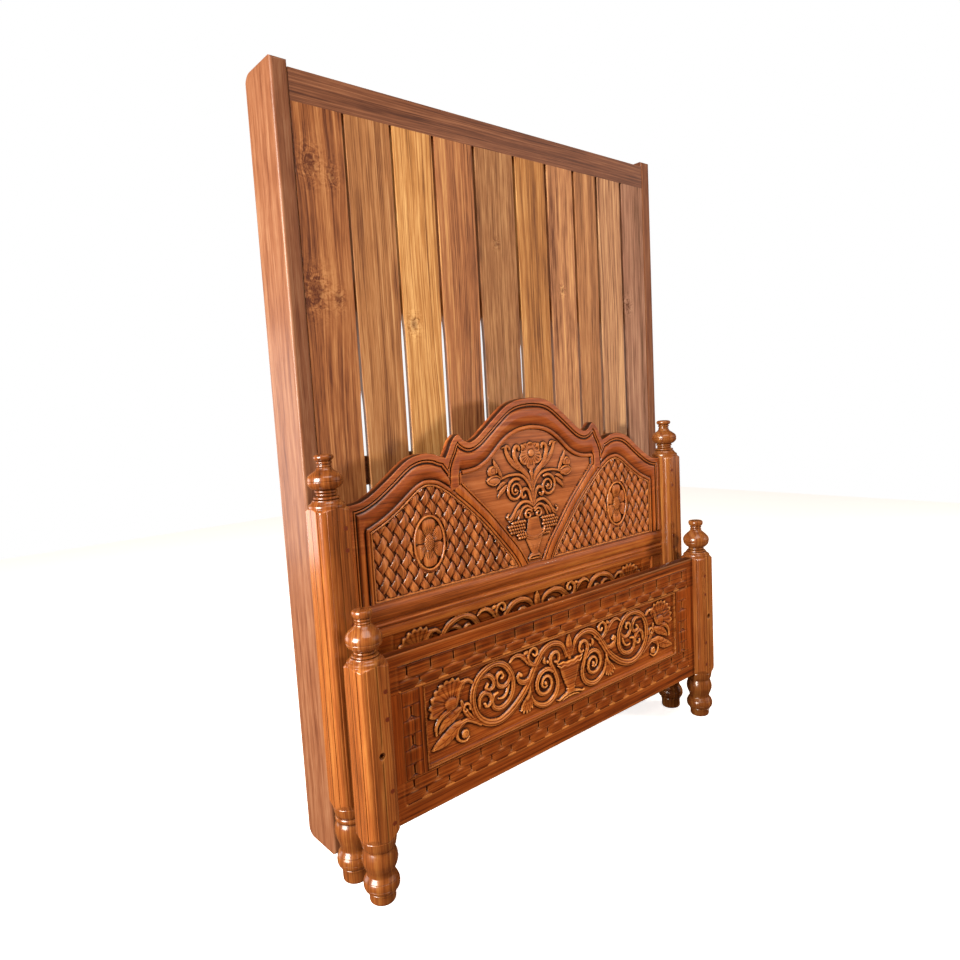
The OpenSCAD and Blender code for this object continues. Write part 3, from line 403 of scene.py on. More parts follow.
def new_tree(name, inputs):
    """A geometry node tree, for what repeats or follows a path, and its named inputs."""
    tree = bpy.data.node_groups.new(name, "GeometryNodeTree")
    tree.interface.new_socket("Geometry", in_out="OUTPUT", socket_type="NodeSocketGeometry")
    tree.interface.new_socket("Geometry", in_out="INPUT", socket_type="NodeSocketGeometry")
    for title in inputs:
        tree.interface.new_socket(title, in_out="INPUT", socket_type="NodeSocketFloat")
    tree.interface.new_socket("Material", in_out="INPUT", socket_type="NodeSocketMaterial")
    return tree, tree.nodes.new("NodeGroupInput").outputs


def end_tree(tree, given, geometry):
    """Ends a tree: its instances are made real and take the material."""
    real = add(tree, "GeometryNodeRealizeInstances", (geometry,))
    painted = add(tree, "GeometryNodeSetMaterial", {"Geometry": real, "Material": given["Material"]})
    add(tree, "NodeGroupOutput", (painted,))
    return tree


def grow(tree, name, points, edges, values, material, replaces, place=(0, 0, 0), sharp=30):
    """A piece of the bed, grown by the tree from the points with its inputs set."""
    seed = bpy.data.meshes.new(name + "_seed")
    seed.from_pydata([tuple(p) for p in points], edges, [])
    obj = bpy.data.objects.new(name, seed)
    bpy.context.scene.collection.objects.link(obj)
    grown = obj.modifiers.new("tree", "NODES")
    grown.node_group = tree
    ids = {item.name: item.identifier for item in tree.interface.items_tree if item.in_out == "INPUT"}
    for title, value in (values | {"Material": material}).items():
        grown[ids[title]] = value
    mesh = bpy.data.meshes.new_from_object(obj.evaluated_get(bpy.context.evaluated_depsgraph_get()))
    obj.modifiers.remove(grown)
    obj.data = mesh
    bpy.data.meshes.remove(seed)
    mesh.name = name
    mesh.materials.clear()
    mesh.materials.append(material)
    mesh.transform(Matrix.Translation(Vector(place)))
    mesh.polygons.foreach_set("material_index", np.zeros(len(mesh.polygons), np.int32))
    mesh.polygons.foreach_set("use_smooth", np.ones(len(mesh.polygons), bool))
    mesh.set_sharp_from_angle(angle=math.radians(sharp))
    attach(obj, "root")
    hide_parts(*replaces)
    return obj


# How many rings a plank's edge bends over, and how many sides a pin and a bead have
PLANK_RINGS = 110
PIN_SIDES = 24


def plank_tree():
    """A plank along Z with rounded arrises, whose edges draw back over a stretch on either side."""
    tree, given = new_tree("plank", ["Width", "Thickness", "Length", "Arris"] + [
        f"{side} {what}" for side in ("Left", "Right") for what in ("Rest", "Draw", "Middle", "Reach")])
    half = add(tree, MATH, (given["Length"], 0.5), "MULTIPLY")
    low = add(tree, JOIN, {2: add(tree, MATH, (half, -1.0), "MULTIPLY")})
    high = add(tree, JOIN, {2: half})
    line = add(tree, "GeometryNodeCurvePrimitiveLine", {"Start": low, "End": high})
    line = add(tree, "GeometryNodeResampleCurve", {"Curve": line, "Count": PLANK_RINGS})
    sides = {"Width": given["Width"], "Height": given["Thickness"]}
    ring = add(tree, "GeometryNodeCurvePrimitiveQuadrilateral", sides)
    ring = add(tree, "GeometryNodeFilletCurve", {"Curve": ring, "Count": 3, "Radius": given["Arris"]},
               mode="POLY")
    body = add(tree, "GeometryNodeCurveToMesh", {"Curve": line, "Profile Curve": ring, "Fill Caps": True})
    own = add(tree, SPLIT, (add(tree, "GeometryNodeInputPosition"),)).outputs
    side = add(tree, MATH, (own[0], add(tree, MATH, (given["Width"], 0.5), "MULTIPLY")), "DIVIDE")
    shift = 0.0
    for name, sign in (("Left", -1.0), ("Right", 1.0)):
        off = add(tree, MATH, (own[2], given[name + " Middle"]), "SUBTRACT")
        off = add(tree, MATH, (add(tree, MATH, (off, given[name + " Reach"]), "DIVIDE"),), "ABSOLUTE")
        near = add(tree, MATH, (1.0, add(tree, MATH, (off, 7.0), "POWER")), "SUBTRACT")
        near = add(tree, MATH, (near, 0.0), "MAXIMUM")
        more = add(tree, MATH, (given[name + " Draw"], given[name + " Rest"]), "SUBTRACT")
        draw = add(tree, MATH, (add(tree, MATH, (near, more), "MULTIPLY"), given[name + " Rest"]), "ADD")
        share = add(tree, MATH, (add(tree, MATH, (side, sign), "MULTIPLY"), 0.0), "MAXIMUM")
        share = add(tree, MATH, (share, -sign), "MULTIPLY")
        shift = add(tree, MATH, (add(tree, MATH, (share, draw), "MULTIPLY"), shift), "ADD")
    move = add(tree, JOIN, {0: shift})
    return end_tree(tree, given, add(tree, "GeometryNodeSetPosition", {"Geometry": body, "Offset": move}))


def pin_tree():
    """A short round pin along Y at each point, with a chamfered head."""
    tree, given = new_tree("pin", ["Radius", "Length", "Head", "Head Depth"])
    shank = {"Vertices": PIN_SIDES, "Radius": given["Radius"], "Depth": given["Length"]}
    body = add(tree, "GeometryNodeMeshCylinder", shank)
    taper = {"Vertices": PIN_SIDES, "Radius Top": given["Head"], "Radius Bottom": given["Radius"],
             "Depth": given["Head Depth"]}
    head = add(tree, "GeometryNodeMeshCone", taper)
    half = add(tree, MATH, (given["Length"], 0.5), "MULTIPLY")
    up = add(tree, MATH, (half, given["Head Depth"]), "SUBTRACT")
    lifted = add(tree, "GeometryNodeTransform", {"Geometry": head, "Translation": add(tree, JOIN, {2: up})})
    both = add(tree, "GeometryNodeJoinGeometry")
    for part in (body, lifted):
        tree.links.new(part.outputs[0], both.inputs[0])
    pins = add(tree, "GeometryNodeInstanceOnPoints", {"Points": given["Geometry"], "Instance": both,
                                                      "Rotation": (-math.pi / 2, 0.0, 0.0)})
    return end_tree(tree, given, pins)


def bead_tree():
    """A rounded bead along a closed path."""
    tree, given = new_tree("bead", ["Width", "Height"])
    path = add(tree, "GeometryNodeMeshToCurve", {"Mesh": given["Geometry"]})
    ring = add(tree, "GeometryNodeCurvePrimitiveCircle", {"Resolution": PIN_SIDES, "Radius": 1.0},
               mode="RADIUS")
    wide, high = (add(tree, MATH, (given[title], 0.5), "MULTIPLY") for title in ("Width", "Height"))
    scale = add(tree, JOIN, (wide, high, 1.0))
    ring = add(tree, "GeometryNodeTransform", {"Geometry": ring, "Scale": scale})
    return end_tree(tree, given, add(tree, "GeometryNodeCurveToMesh", {"Curve": path, "Profile Curve": ring}))


# Places


def place_of(group):
    """The middle of the headboard's or footboard's two posts: x, and y of their axes."""
    left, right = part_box(group + "_post_left"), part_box(group + "_post_right")
    return (left[0].x + right[1].x) / 2, (left[0].y + left[1].y) / 2


def front_of(group):
    """The middle of a group's carved face: its x, and the y of its front."""
    node = "headboard_crest_centre" if group == "headboard" else "footboard_top_rail"
    return place_of(group)[0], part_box(node)[0].y


# How near its end face a pin's points lie, and how wide a pin may be, in metres
END_FACE = 0.0005
PIN_REACH = 0.013


def spots_of(node, front=True):
    """Where the pins of a node end: x and z of each one's middle."""
    co = np.array([v.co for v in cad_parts[node].data.vertices])
    y = co[:, 1]
    groups = []
    for v in co[y < y.min() + END_FACE] if front else co[y > y.max() - END_FACE]:
        for g in groups:
            if abs(v[0] - g[0][0]) < PIN_REACH and abs(v[2] - g[0][2]) < PIN_REACH:
                g.append(v)
                break
        else:
            groups.append([v])
    return [tuple((min(q[k] for q in g) + max(q[k] for q in g)) / 2 for k in (0, 2)) for g in groups]


# Deck

# Each gap's planks: how far their edges draw back in millimetres, away from and over the stretch where
# the gap is widest, and the middle and reach of that stretch in metres
SHUT = (0, 0, 1, 1)
GAPS = [SHUT, (-1.4, 2.6, 1.03, 0.17), (-0.9, 3.4, 1.18, 0.21), (-0.2, 4.0, 1.17, 0.22),
        (0.5, 4.2, 1.19, 0.21), (1.0, 3.2, 1.25, 0.08)] + 4 * [(1.4, 1.4, 1, 1)] + [SHUT]
# The knots on a plank's front: x, z and size, in metres
KNOTS = {
    1: [(-0.624, 1.751, 0.015), (-0.566, 1.731, 0.010), (-0.634, 1.447, 0.019), (-0.572, 1.431, 0.009)],
    3: [(-0.343, 1.375, 0.010)], 5: [(-0.02, 1.62, 0.006)], 7: [(0.265, 1.50, 0.006)],
    10: [(0.61, 1.47, 0.010)],
}
# The planks whose stain lies most unevenly
MOTTLED = (1, 5, 7)


class DeckPlanks(bpy.types.Operator):
    """Ten planks, drawn back at their edges where daylight shows between them"""

    bl_idname = "bed.deck_planks"
    bl_label = "Deck planks"

    def execute(self, context):
        tree = plank_tree()
        for i in range(1, 11):
            node = f"plank_{i:02d}"
            lo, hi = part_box(node)
            # planed teak: long straight figure and a soft, thin gloss
            wood = teak(node, "Z", 1.3 + (i - 1) * 2.37, 1.2, KNOTS.get(i, ()), gloss=0.5, coat=0.35,
                        shine=0.2, streak=0.88, mottle=1.7 if i in MOTTLED else 1.2)
            middle = (lo + hi) / 2
            values = {"Width": hi.x - lo.x, "Thickness": hi.y - lo.y, "Length": hi.z - lo.z,
                      "Arris": size("plank_arris") * MM}
            for name, (rest, draw, at, reach) in (("Left", GAPS[i - 1]), ("Right", GAPS[i])):
                values |= {name + " Rest": rest * MM, name + " Draw": draw * MM,
                           name + " Middle": at - middle.z, name + " Reach": float(reach)}
            grow(tree, "deck_" + node, [(0, 0, 0)], [], values, wood, [node], middle, 12)
        return {"FINISHED"}


class DeckFrame(bpy.types.Operator):
    """The side rails that stand at the deck's edges, its cross rails and its bearers"""

    bl_idname = "bed.deck_frame"
    bl_label = "Deck frame"

    def execute(self, context):
        # planed teak, blotched by the stain and nearly dull
        rail = teak("side_rail", "Z", 31.0, 0.8, gloss=0.42, coat=0.1, shine=0.25, streak=0.6, mottle=1.8)
        cross = teak("cross_rail", "X", 17.0, 0.7, gloss=0.42, coat=0.4, shine=0.25, streak=0.7)
        for node in ("side_rail_left", "side_rail_right"):
            paint(node, rail)
        for node in ("head_cross_rail", "foot_cross_rail", "bearer_head", "bearer_middle", "bearer_foot"):
            paint(node, cross)
        return {"FINISHED"}


class DeckScrews(bpy.types.Operator):
    """The screws that hold the planks to the bearers, from behind"""

    bl_idname = "bed.deck_screws"
    bl_label = "Deck screws"

    def execute(self, context):
        lo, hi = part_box("deck_screws")
        heads = [(x, (lo.y + hi.y) / 2, z) for x, z in spots_of("deck_screws", False)]
        values = {"Radius": size("screw_radius") * MM, "Length": hi.y - lo.y, "Head": size("screw_head") * MM,
                  "Head Depth": 3 * MM}
        # zinc-plated steel, smooth and bright
        steel = plain("zinc_plated_steel", colour_of("steel"), 0.35, 1.0)
        grow(pin_tree(), "deck_screw_pins", heads, [], values, steel, ["deck_screws"])
        return {"FINISHED"}


# Posts


def post_section():
    """Angle and radius round a post's square length: flat faces and quirked quarter rounds."""
    half, corner, quirk = size("post_width") / 2, size("post_corner"), size("post_quirk")
    inner = half - corner
    quarter = [(half, y) for y in np.linspace(0, inner - 1.5, 9)]
    quarter += [(half - 0.25, inner - 0.7), (half - 1.0, inner - 0.05), (half - quirk + 0.05, inner + 0.1)]
    quarter += [tuple(p) for p in arc(inner, inner, corner - quirk, 2, 88, 13)]
    quarter += [(inner + 0.1, half - quirk + 0.05), (inner - 0.05, half - 1.0), (inner - 0.7, half - 0.25)]
    quarter += [(x, half) for x in np.linspace(inner - 1.5, 0, 9)[:-1]]
    ring = []
    for c, s in ((1, 0), (0, 1), (-1, 0), (0, -1)):
        ring += [(c * x - s * y, s * x + c * y) for x, y in quarter]
    ring = np.array(ring)
    return np.arctan2(ring[:, 1], ring[:, 0]), np.hypot(ring[:, 0], ring[:, 1])


def bead(r, z0, z1, b, n=7):
    """A turned bead from z0 to z1 that stands b out from radius r."""
    t = np.radians(np.linspace(-90, 90, n))
    return [(r + b * math.cos(a), (z0 + z1) / 2 + (z1 - z0) / 2 * math.sin(a)) for a in t]


def curve(points, steps=6):
    """A turned hollow or swell through the points."""
    return [tuple(p) for p in spline(points, steps)]


# The turnings' profiles as radius and height in millimetres: finials above the square, feet above the floor
HB_FINIAL = (
    [(43.5, 0), (43.9, 2), (44, 4), (43.4, 7), (41, 9.5)]
    + curve([(41, 9.5), (37, 12.5), (34, 16.5), (33, 19)])
    + bead(27, 20, 27, 4) + bead(21.5, 28, 35, 3) + bead(24, 36, 42, 3)
    + curve([(25, 43), (34, 47), (41, 55), (42.8, 62)]) + [(42.6, 62.8), (41.4, 64), (42.6, 65.2)]
    + curve([(42.6, 66), (39.5, 75), (30, 83), (21, 89), (17.5, 95)])
    + bead(15.5, 95.5, 100.5, 2.3) + [(15.3, 102.5)] + bead(16, 103, 109, 3)
    + curve([(17, 110), (22, 113.5), (23.8, 118), (21.5, 123), (13, 125.5), (0, 126)]))
FB_FINIAL = (
    [(43.5, 0), (43.9, 2), (44, 4), (43.4, 7), (41, 9.5)]
    + curve([(41, 9.5), (37, 12), (34.5, 15), (34, 16.5)])
    + bead(28, 17, 22, 3.5) + bead(23, 24, 30, 3) + curve([(25, 31), (33, 36), (39.5, 43), (42, 50)])
    + [(41.8, 50.8), (40.8, 51.8), (42.2, 52.8)]
    + curve([(42.4, 53), (43, 60), (40, 69), (31, 79), (22, 87), (18.5, 92)])
    + bead(16.5, 92.5, 97.5, 2.3) + [(16.3, 99)] + bead(16.5, 100, 105, 2.6)
    + curve([(18, 106), (22, 110), (24, 117), (23, 122), (20, 124.5), (10, 125.6), (0, 126)]))
HB_FOOT = (
    [(0, 0), (27, 0), (29.5, 0.8), (31, 2.5), (31.7, 4.5), (32, 7), (32, 31)] + bead(33, 32, 37, 2)
    + curve([(36, 38), (41, 44), (43, 51)]) + [(42.8, 52), (41.6, 53), (43, 54)]
    + curve([(43.2, 55), (42.5, 62), (40.5, 67)]) + [(40, 68), (39, 69), (39.4, 70.4)]
    + curve([(39.5, 71), (36, 76), (32, 84), (33.5, 94), (38, 108), (42, 122), (43.2, 134), (41, 147),
             (36.5, 156)])
    + bead(36.5, 159, 171, 4) + [(37, 173)] + curve([(37, 173), (40, 178), (42, 186), (43.6, 197)]))
FB_FOOT = (
    [(0, 0), (26, 0), (28.6, 0.8), (30, 2.5), (31, 4.5), (31.5, 7), (31.5, 22)] + bead(32.5, 23, 28, 2)
    + curve([(35, 29), (40.5, 34), (43, 40)]) + [(42.9, 41), (41.8, 42), (43.2, 43)]
    + curve([(43.4, 44), (43, 51), (41, 57)]) + [(40.4, 58), (39.4, 58.8), (39.7, 59.6)]
    + curve([(39.8, 60), (36, 65), (33, 70), (34.5, 79), (39, 90), (42.5, 102), (42, 114), (39.5, 124),
             (36.5, 132)])
    + [(36.5, 134)] + curve([(36.5, 134), (38.5, 137), (41, 144), (43.6, 159)]))
# Each kind of post: its foot and finial, and where its square length starts
TURNINGS = {"headboard": (HB_FOOT, HB_FINIAL, 198), "footboard": (FB_FOOT, FB_FINIAL, 160)}
FINIAL_HEIGHT = 126
# How dark the stain and painted shade lie on a turned foot, the stain on a finial, and the painted shade
# in a corner's quirk
FOOT_STAIN_AND_SHADE, FINIAL_STAIN, QUIRK_PAINTED_SHADE = 0.36, 0.24, 0.8


def build_post(group, side, material):
    """A post turned and moulded in one piece: rings round its axis, one above the other."""
    node = f"{group}_post_{side}"
    lo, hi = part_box(node)
    cx, cy = (lo.x + hi.x) / 2, (lo.y + hi.y) / 2
    half = size("post_width") / 2
    foot, finial, z0 = TURNINGS[group]
    z1 = hi.z / MM - FINIAL_HEIGHT
    angle, square = post_section()
    rows = [(r, z) for r, z in foot]
    # the square's shoulders, where the turning cuts into its corners
    rows += curve([(half * 0.98, z0), (47, z0 + 7), (52, z0 + 16), (58, z0 + 25), (61, z0 + 30)], 5)
    rows += [(70, z) for z in np.linspace(z0 + 31, z1 - 20, 8)]
    rows += curve([(61, z1 - 19), (57, z1 - 13), (51.5, z1 - 6), (47, z1 - 1.5), (43.5, z1)], 5)
    rows += [(r, z1 + z) for r, z in finial]
    r = np.array([a for a, _ in rows])
    z = np.array([b for _, b in rows])
    # the turned rings are round, and the others are cut to the square's section
    radius = np.minimum(r[:, None], square[None, :])
    body = (z >= z0) & (z <= z1)
    radius[~body] = r[~body][:, None]
    x = radius * np.cos(angle)[None, :] * MM + cx
    y = radius * np.sin(angle)[None, :] * MM + cy
    co = np.stack([x, y, np.repeat(z[:, None], len(angle), 1) * MM], -1).reshape(-1, 3)
    faces = grid_faces(len(rows), len(angle), wrap_m=True, flip=True)
    # the stain lies darker on the turned lengths, the foot's with painted shade as well, and painted shade
    # darkens their grooves and the quirks of the corners
    around = np.convolve(np.pad(r, 4, mode="edge"), np.ones(9) / 9, "valid")
    shade = np.where(z < z0, FOOT_STAIN_AND_SHADE, np.where(body, 0.0, FINIAL_STAIN))
    shade = shade + np.where(body, 0, np.clip((around - r) / 5, 0, 0.6))
    low = (square < 53) & (np.roll(square, 1) > square) & (np.roll(square, -1) > square)
    quirk = np.where(low, QUIRK_PAINTED_SHADE, 0.0)
    shade = np.maximum(shade[:, None], np.where(body[:, None], quirk[None, :], 0))
    post = make_mesh(f"{group}_post_{side}_turned", co, faces, material, [node], sharp=28,
                     recess=shade)
    bore_post(post, group, cx, cy, material)


def cylinders(name, places, material):
    """Cylinders or cones along Y as one closed mesh, in metres. Each is (x, y from, y to, z, radius),
    with the radius at the far end last where it differs."""
    verts, faces = [], []
    n = 28
    a = np.arange(n) * 2 * math.pi / n
    k = np.arange(n)
    k2 = (k + 1) % n
    for x, y0, y1, z, *radii in places:
        base = len(verts)
        for y, r in ((y0, radii[0]), (y1, radii[-1])):
            verts += [(x + r * math.cos(t), y, z + r * math.sin(t)) for t in a]
        walls = np.stack([base + n + k, base + n + k2, base + k2, base + k], 1)
        faces += walls.tolist() + [(base + k).tolist(), (base + n + k[::-1]).tolist()]
    mesh = bpy.data.meshes.new(name)
    mesh.from_pydata(verts, [], faces)
    mesh.materials.append(material)
    return bpy.data.objects.new(name, mesh)


def bore_post(post, group, cx, cy, material):
    """Cuts the bed bolt's hole and the pegs' holes into a turned post."""
    spots, y = spots_of(group + "_pegs"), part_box(group + "_pegs")[0].y
    radius = size("peg_radius") * MM + 0.0002
    holes = [(x, y - 0.004, y + 0.003, z, radius) for x, z in spots if abs(x - cx) < 0.05]
    half = size("post_width") / 2 * MM
    face, inward = (cy - half, 1) if group == "footboard" else (cy + half, -1)
    bolt = size("bolt_height") * MM
    through = [(cx, cy - half - 0.006, cy + half + 0.006, bolt, size("bolt_radius") * MM)]
    mouth = (face - 0.001 * inward, size("bolt_mouth") * MM)
    throat = (face + size("mouth_depth") * MM * inward, size("bolt_throat") * MM)
    (y0, r0), (y1, r1) = sorted((mouth, throat))
    for name, places in (("pegs", holes), ("bolt", through), ("mouth", [(cx, y0, y1, bolt, r0, r1)])):
        cutter = cylinders(post.name + "_" + name, places, material)
        bpy.context.scene.collection.objects.link(cutter)
        cut = post.modifiers.new(name, "BOOLEAN")
        cut.operation = "DIFFERENCE"
        cut.solver = "EXACT"
        cut.object = cutter
        mesh = bpy.data.meshes.new_from_object(post.evaluated_get(bpy.context.evaluated_depsgraph_get()))
        post.modifiers.remove(cut)
        old = post.data
        post.data = mesh
        mesh.name = old.name + "_" + name
        bpy.data.meshes.remove(old)
        gone = cutter.data
        bpy.data.objects.remove(cutter)
        bpy.data.meshes.remove(gone)


class Posts(bpy.types.Operator):
    """Four posts with turned feet and finials, moulded corners and bolt holes"""

    bl_idname = "bed.posts"
    bl_label = "Posts"

    def execute(self, context):
        for group in ("headboard", "footboard"):
            for i, side in enumerate(("left", "right")):
                seed = 3.0 + i * 5 + (11 if group == "headboard" else 0)
                # turned teak under a thick, glossy coat, with painted shade in its grooves and quirks
                wood = teak("post", "Z", seed, 0.45, title=f"{group}_{side}", gloss=0.25, coat=0.75,
                            shine=0.4, streak=0.65, slant=-0.8, recess=1.0)
                build_post(group, side, wood)
        return {"FINISHED"}


class Pegs(bpy.types.Operator):
    """The pegs that lock the rails' tenons in the posts"""

    bl_idname = "bed.pegs"
    bl_label = "Pegs"

    def execute(self, context):
        # whittled teak pegs: dark end grain with a low gloss
        wood = plain("whittled_teak_peg", colour_of("peg"), 0.35)
        tree = pin_tree()
        for node in ("headboard_pegs", "footboard_pegs"):
            lo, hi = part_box(node)
            spots = [(x, (lo.y + hi.y) / 2, z) for x, z in spots_of(node)]
            radius = size("peg_radius")
            values = {"Radius": radius * MM, "Length": hi.y - lo.y, "Head": (radius - 0.2) * MM,
                      "Head Depth": 1 * MM}
            grow(tree, node + "_round", spots, [], values, wood, [node])
        return {"FINISHED"}


# Carved boards

# How far behind a group's front the backs of its rails, panels and medallions lie, in millimetres
RAIL_BACK, PANEL_BACK, MEDALLION_BACK = 28, 17, 16
# Farther off than anything on the bed
FAR = 1e18
# How wide the blurs are that find narrow and wide hollows, how deep a hollow has to be beside them to
# take its painted shade at full strength, and how high a crown to take its painted highlight, in millimetres
NARROW_BLUR, WIDE_BLUR = 3.5, 9
FULL_HOLLOW, FULL_DIP = 1.3, 4.0
FULL_CROWN, FULL_RISE = 2.2, 5.0


def distance(x, z, path):
    """Distance of each point from a polyline, how far along it (0 to 1), and the side (left is +1)."""
    p = np.asarray(path, float)
    seg = np.diff(p, axis=0)
    length = np.maximum(np.hypot(seg[:, 0], seg[:, 1]), 1e-9)
    start = np.r_[0, np.cumsum(length)]
    best = np.full(x.shape, FAR)
    t_at = np.zeros(x.shape)
    side = np.ones(x.shape)
    for k in range(len(seg)):
        dx, dz = x - p[k, 0], z - p[k, 1]
        t = np.clip((dx * seg[k, 0] + dz * seg[k, 1]) / length[k] ** 2, 0, 1)
        ex, ez = dx - t * seg[k, 0], dz - t * seg[k, 1]
        d = ex * ex + ez * ez
        new = d < best
        best = np.where(new, d, best)
        t_at = np.where(new, start[k] + t * length[k], t_at)
        side = np.where(new, np.sign(seg[k, 0] * dz - seg[k, 1] * dx), side)
    return np.sqrt(best), t_at / start[-1], side


def nearest(x, z, path):
    """The nearest point of a polyline to each point, and its distance."""
    p = np.asarray(path, float)
    seg = np.diff(p, axis=0)
    square = np.maximum((seg**2).sum(1), 1e-12)
    best = np.full(x.shape, FAR)
    nx, nz = x.copy(), z.copy()
    for k in range(len(seg)):
        t = np.clip(((x - p[k, 0]) * seg[k, 0] + (z - p[k, 1]) * seg[k, 1]) / square[k], 0, 1)
        qx, qz = p[k, 0] + t * seg[k, 0], p[k, 1] + t * seg[k, 1]
        d = (x - qx) ** 2 + (z - qz) ** 2
        new = d < best
        best = np.where(new, d, best)
        nx, nz = np.where(new, qx, nx), np.where(new, qz, nz)
    return nx, nz, np.sqrt(best)


def inside(x, z, loop):
    """Whether each point lies inside a closed outline."""
    p = np.asarray(loop, float)
    q = np.roll(p, -1, axis=0)
    hit = np.zeros(x.shape, bool)
    for (x0, z0), (x1, z1) in zip(p, q):
        if z0 == z1:
            continue
        cross = (z0 > z) != (z1 > z)
        hit ^= cross & (x < x0 + (z - z0) * (x1 - x0) / (z1 - z0))
    return hit


def soften(a, cells):
    """A box blur over the given number of cells each way."""
    k = 2 * cells + 1
    for axis in (0, 1):
        pad = [(0, 0), (0, 0)]
        pad[axis] = (cells + 1, cells)
        c = np.cumsum(np.pad(a, pad, mode="edge"), axis=axis)
        a = (np.take(c, range(k, c.shape[axis]), axis) - np.take(c, range(0, c.shape[axis] - k), axis)) / k
    return a


def ring_area(loop):
    """The area of an outline, positive where it runs anticlockwise."""
    p = np.asarray(loop)
    q = np.roll(p, -1, axis=0)
    return 0.5 * float((p[:, 0] * q[:, 1] - q[:, 0] * p[:, 1]).sum())


def carved_board(name, outline, depth, cell, back, place, material, replaces, holes=(), mirror=False,
                 sharp=50, hollow=1.0):
    """A board with a carved front. Its outline and holes are in millimetres about place, which is
    (x, y of the board's front); depth(x, z) is how far its face lies behind that front, and back
    how far its flat back does. Hollow scales the painted shade in its hollows and the painted highlight
    on its crowns; where it is negative, a hollow takes the painted highlight."""
    outline = np.asarray(outline, float)
    if mirror:
        outline = outline * [-1, 1]
    if ring_area(outline) < 0:
        outline = outline[::-1]
    loops = [outline] + [np.asarray(h, float) * ([-1, 1] if mirror else [1, 1]) for h in holes]
    lo, hi = outline.min(0), outline.max(0)
    nx, nz = int((hi[0] - lo[0]) / cell) + 2, int((hi[1] - lo[1]) / cell) + 2
    gx = lo[0] - cell * 0.37 + (hi[0] - lo[0] + cell * 0.74) * np.arange(nx + 1) / nx
    gz = lo[1] - cell * 0.37 + (hi[1] - lo[1] + cell * 0.74) * np.arange(nz + 1) / nz
    # a grid over the board, whose outermost points are drawn onto its outlines
    x, z = (a.copy() for a in np.meshgrid(gx, gz, indexing="ij"))
    within = inside(x, z, loops[0])
    for h in loops[1:]:
        within &= ~inside(x, z, h)
    face = grid_faces(*x.shape)
    face = face[within.ravel()[face].any(1)]
    used = np.zeros(x.size, bool)
    used[face.ravel()] = True
    snap = used & ~within.ravel()
    idx = np.where(snap)[0]
    bx, bz = x.ravel(), z.ravel()
    px, pz = bx[idx], bz[idx]
    best = np.full(len(idx), FAR)
    for loop in loops:
        closed = np.vstack([loop, loop[:1]])
        sx, sz, d = nearest(px, pz, closed)
        new = d < best
        best = np.where(new, d, best)
        bx[idx] = np.where(new, sx, bx[idx])
        bz[idx] = np.where(new, sz, bz[idx])
    x, z = bx.reshape(x.shape), bz.reshape(z.shape)
    deep = depth(x, z)
    # painted shade where the face lies deeper than round it, and painted highlight, as a negative share,
    # where it stands higher
    near = deep - soften(deep, max(1, round(NARROW_BLUR / cell)))
    wide = deep - soften(deep, max(1, round(WIDE_BLUR / cell)))
    low = np.maximum(np.clip(near / FULL_HOLLOW, 0, 1), np.clip(wide / FULL_DIP, 0, 1))
    high = np.maximum(np.clip(-near / FULL_CROWN, 0, 1), np.clip(-wide / FULL_RISE, 0, 1))
    low = np.where(low > 0, low, -high) * (hollow(x, z) if callable(hollow) else hollow)
    number = np.full(x.size, -1)
    keep = np.where(used)[0]
    number[keep] = np.arange(len(keep))
    face = number[face]
    front = np.stack([x.ravel()[keep], deep.ravel()[keep], z.ravel()[keep]], 1)
    recess = low.ravel()[keep]
    # the walls run from the open edges to the back
    pairs = np.stack([face, np.roll(face, -1, 1)], -1).reshape(-1, 2)
    count = len(keep)
    key = pairs[:, 0] * count + pairs[:, 1]
    other = pairs[:, 1] * count + pairs[:, 0]
    rim = pairs[~np.isin(key, other)]
    follow = dict(map(tuple, rim))
    rims = []
    while follow:
        first = next(iter(follow))
        loop, at = [first], follow.pop(first)
        while at != first and at in follow:
            loop.append(at)
            at = follow.pop(at)
        rims.append(loop)
    rims = [r for r in rims if len(r) > 2]
    verts = [front]
    shade = [recess]
    total = count
    faces = [face]
    walls, backs = [], []
    for loop in rims:
        ring = front[loop].copy()
        ring[:, 1] = back
        verts.append(ring)
        shade.append(np.zeros(len(loop)))
        k = np.arange(len(loop))
        k2 = (k + 1) % len(loop)
        a = np.array(loop)
        walls.append(np.stack([a[k2], a[k], total + k, total + k2], 1))
        backs.append((total, ring))
        total += len(loop)
    tris = tessellate_polygon([[Vector((p[0], p[2], 0)) for p in ring] for _, ring in backs])
    order = np.concatenate([start + np.arange(len(ring)) for start, ring in backs])
    tris = order[np.array(tris)]
    co = np.vstack(verts)
    a, b, c = (co[tris[:, k]] for k in range(3))
    normal = np.cross(b - a, c - a)[:, 1]
    tris = np.where((normal < 0)[:, None], tris[:, ::-1], tris)
    co = co * [MM, MM, MM] + [place[0], place[1], 0]
    a, b, c = (co[face[:, k]] for k in range(3))
    if np.cross(b - a, c - a)[:, 1].sum() > 0:
        faces = [face[:, ::-1]]
        walls = [w[:, ::-1] for w in walls]
    quads = np.vstack(faces + walls)
    return make_mesh(name, co, list(quads) + list(tris), material, replaces, sharp,
                     np.concatenate(shade))


def round_profile(d, r):
    """Depth of a rounded arris of radius r at distance d from the edge."""
    t = np.clip(1 - d / r, 0, 1)
    return r * (1 - np.sqrt(1 - t * t))


def bump_at(d, at, half, high):
    """A round bead across distance d: 0 off it, high on its crown."""
    return high * np.sqrt(np.clip(1 - ((d - at) / half) ** 2, 0, 1))


# The headboard's lines, in millimetres from its middle and from the floor: its right half, outwards

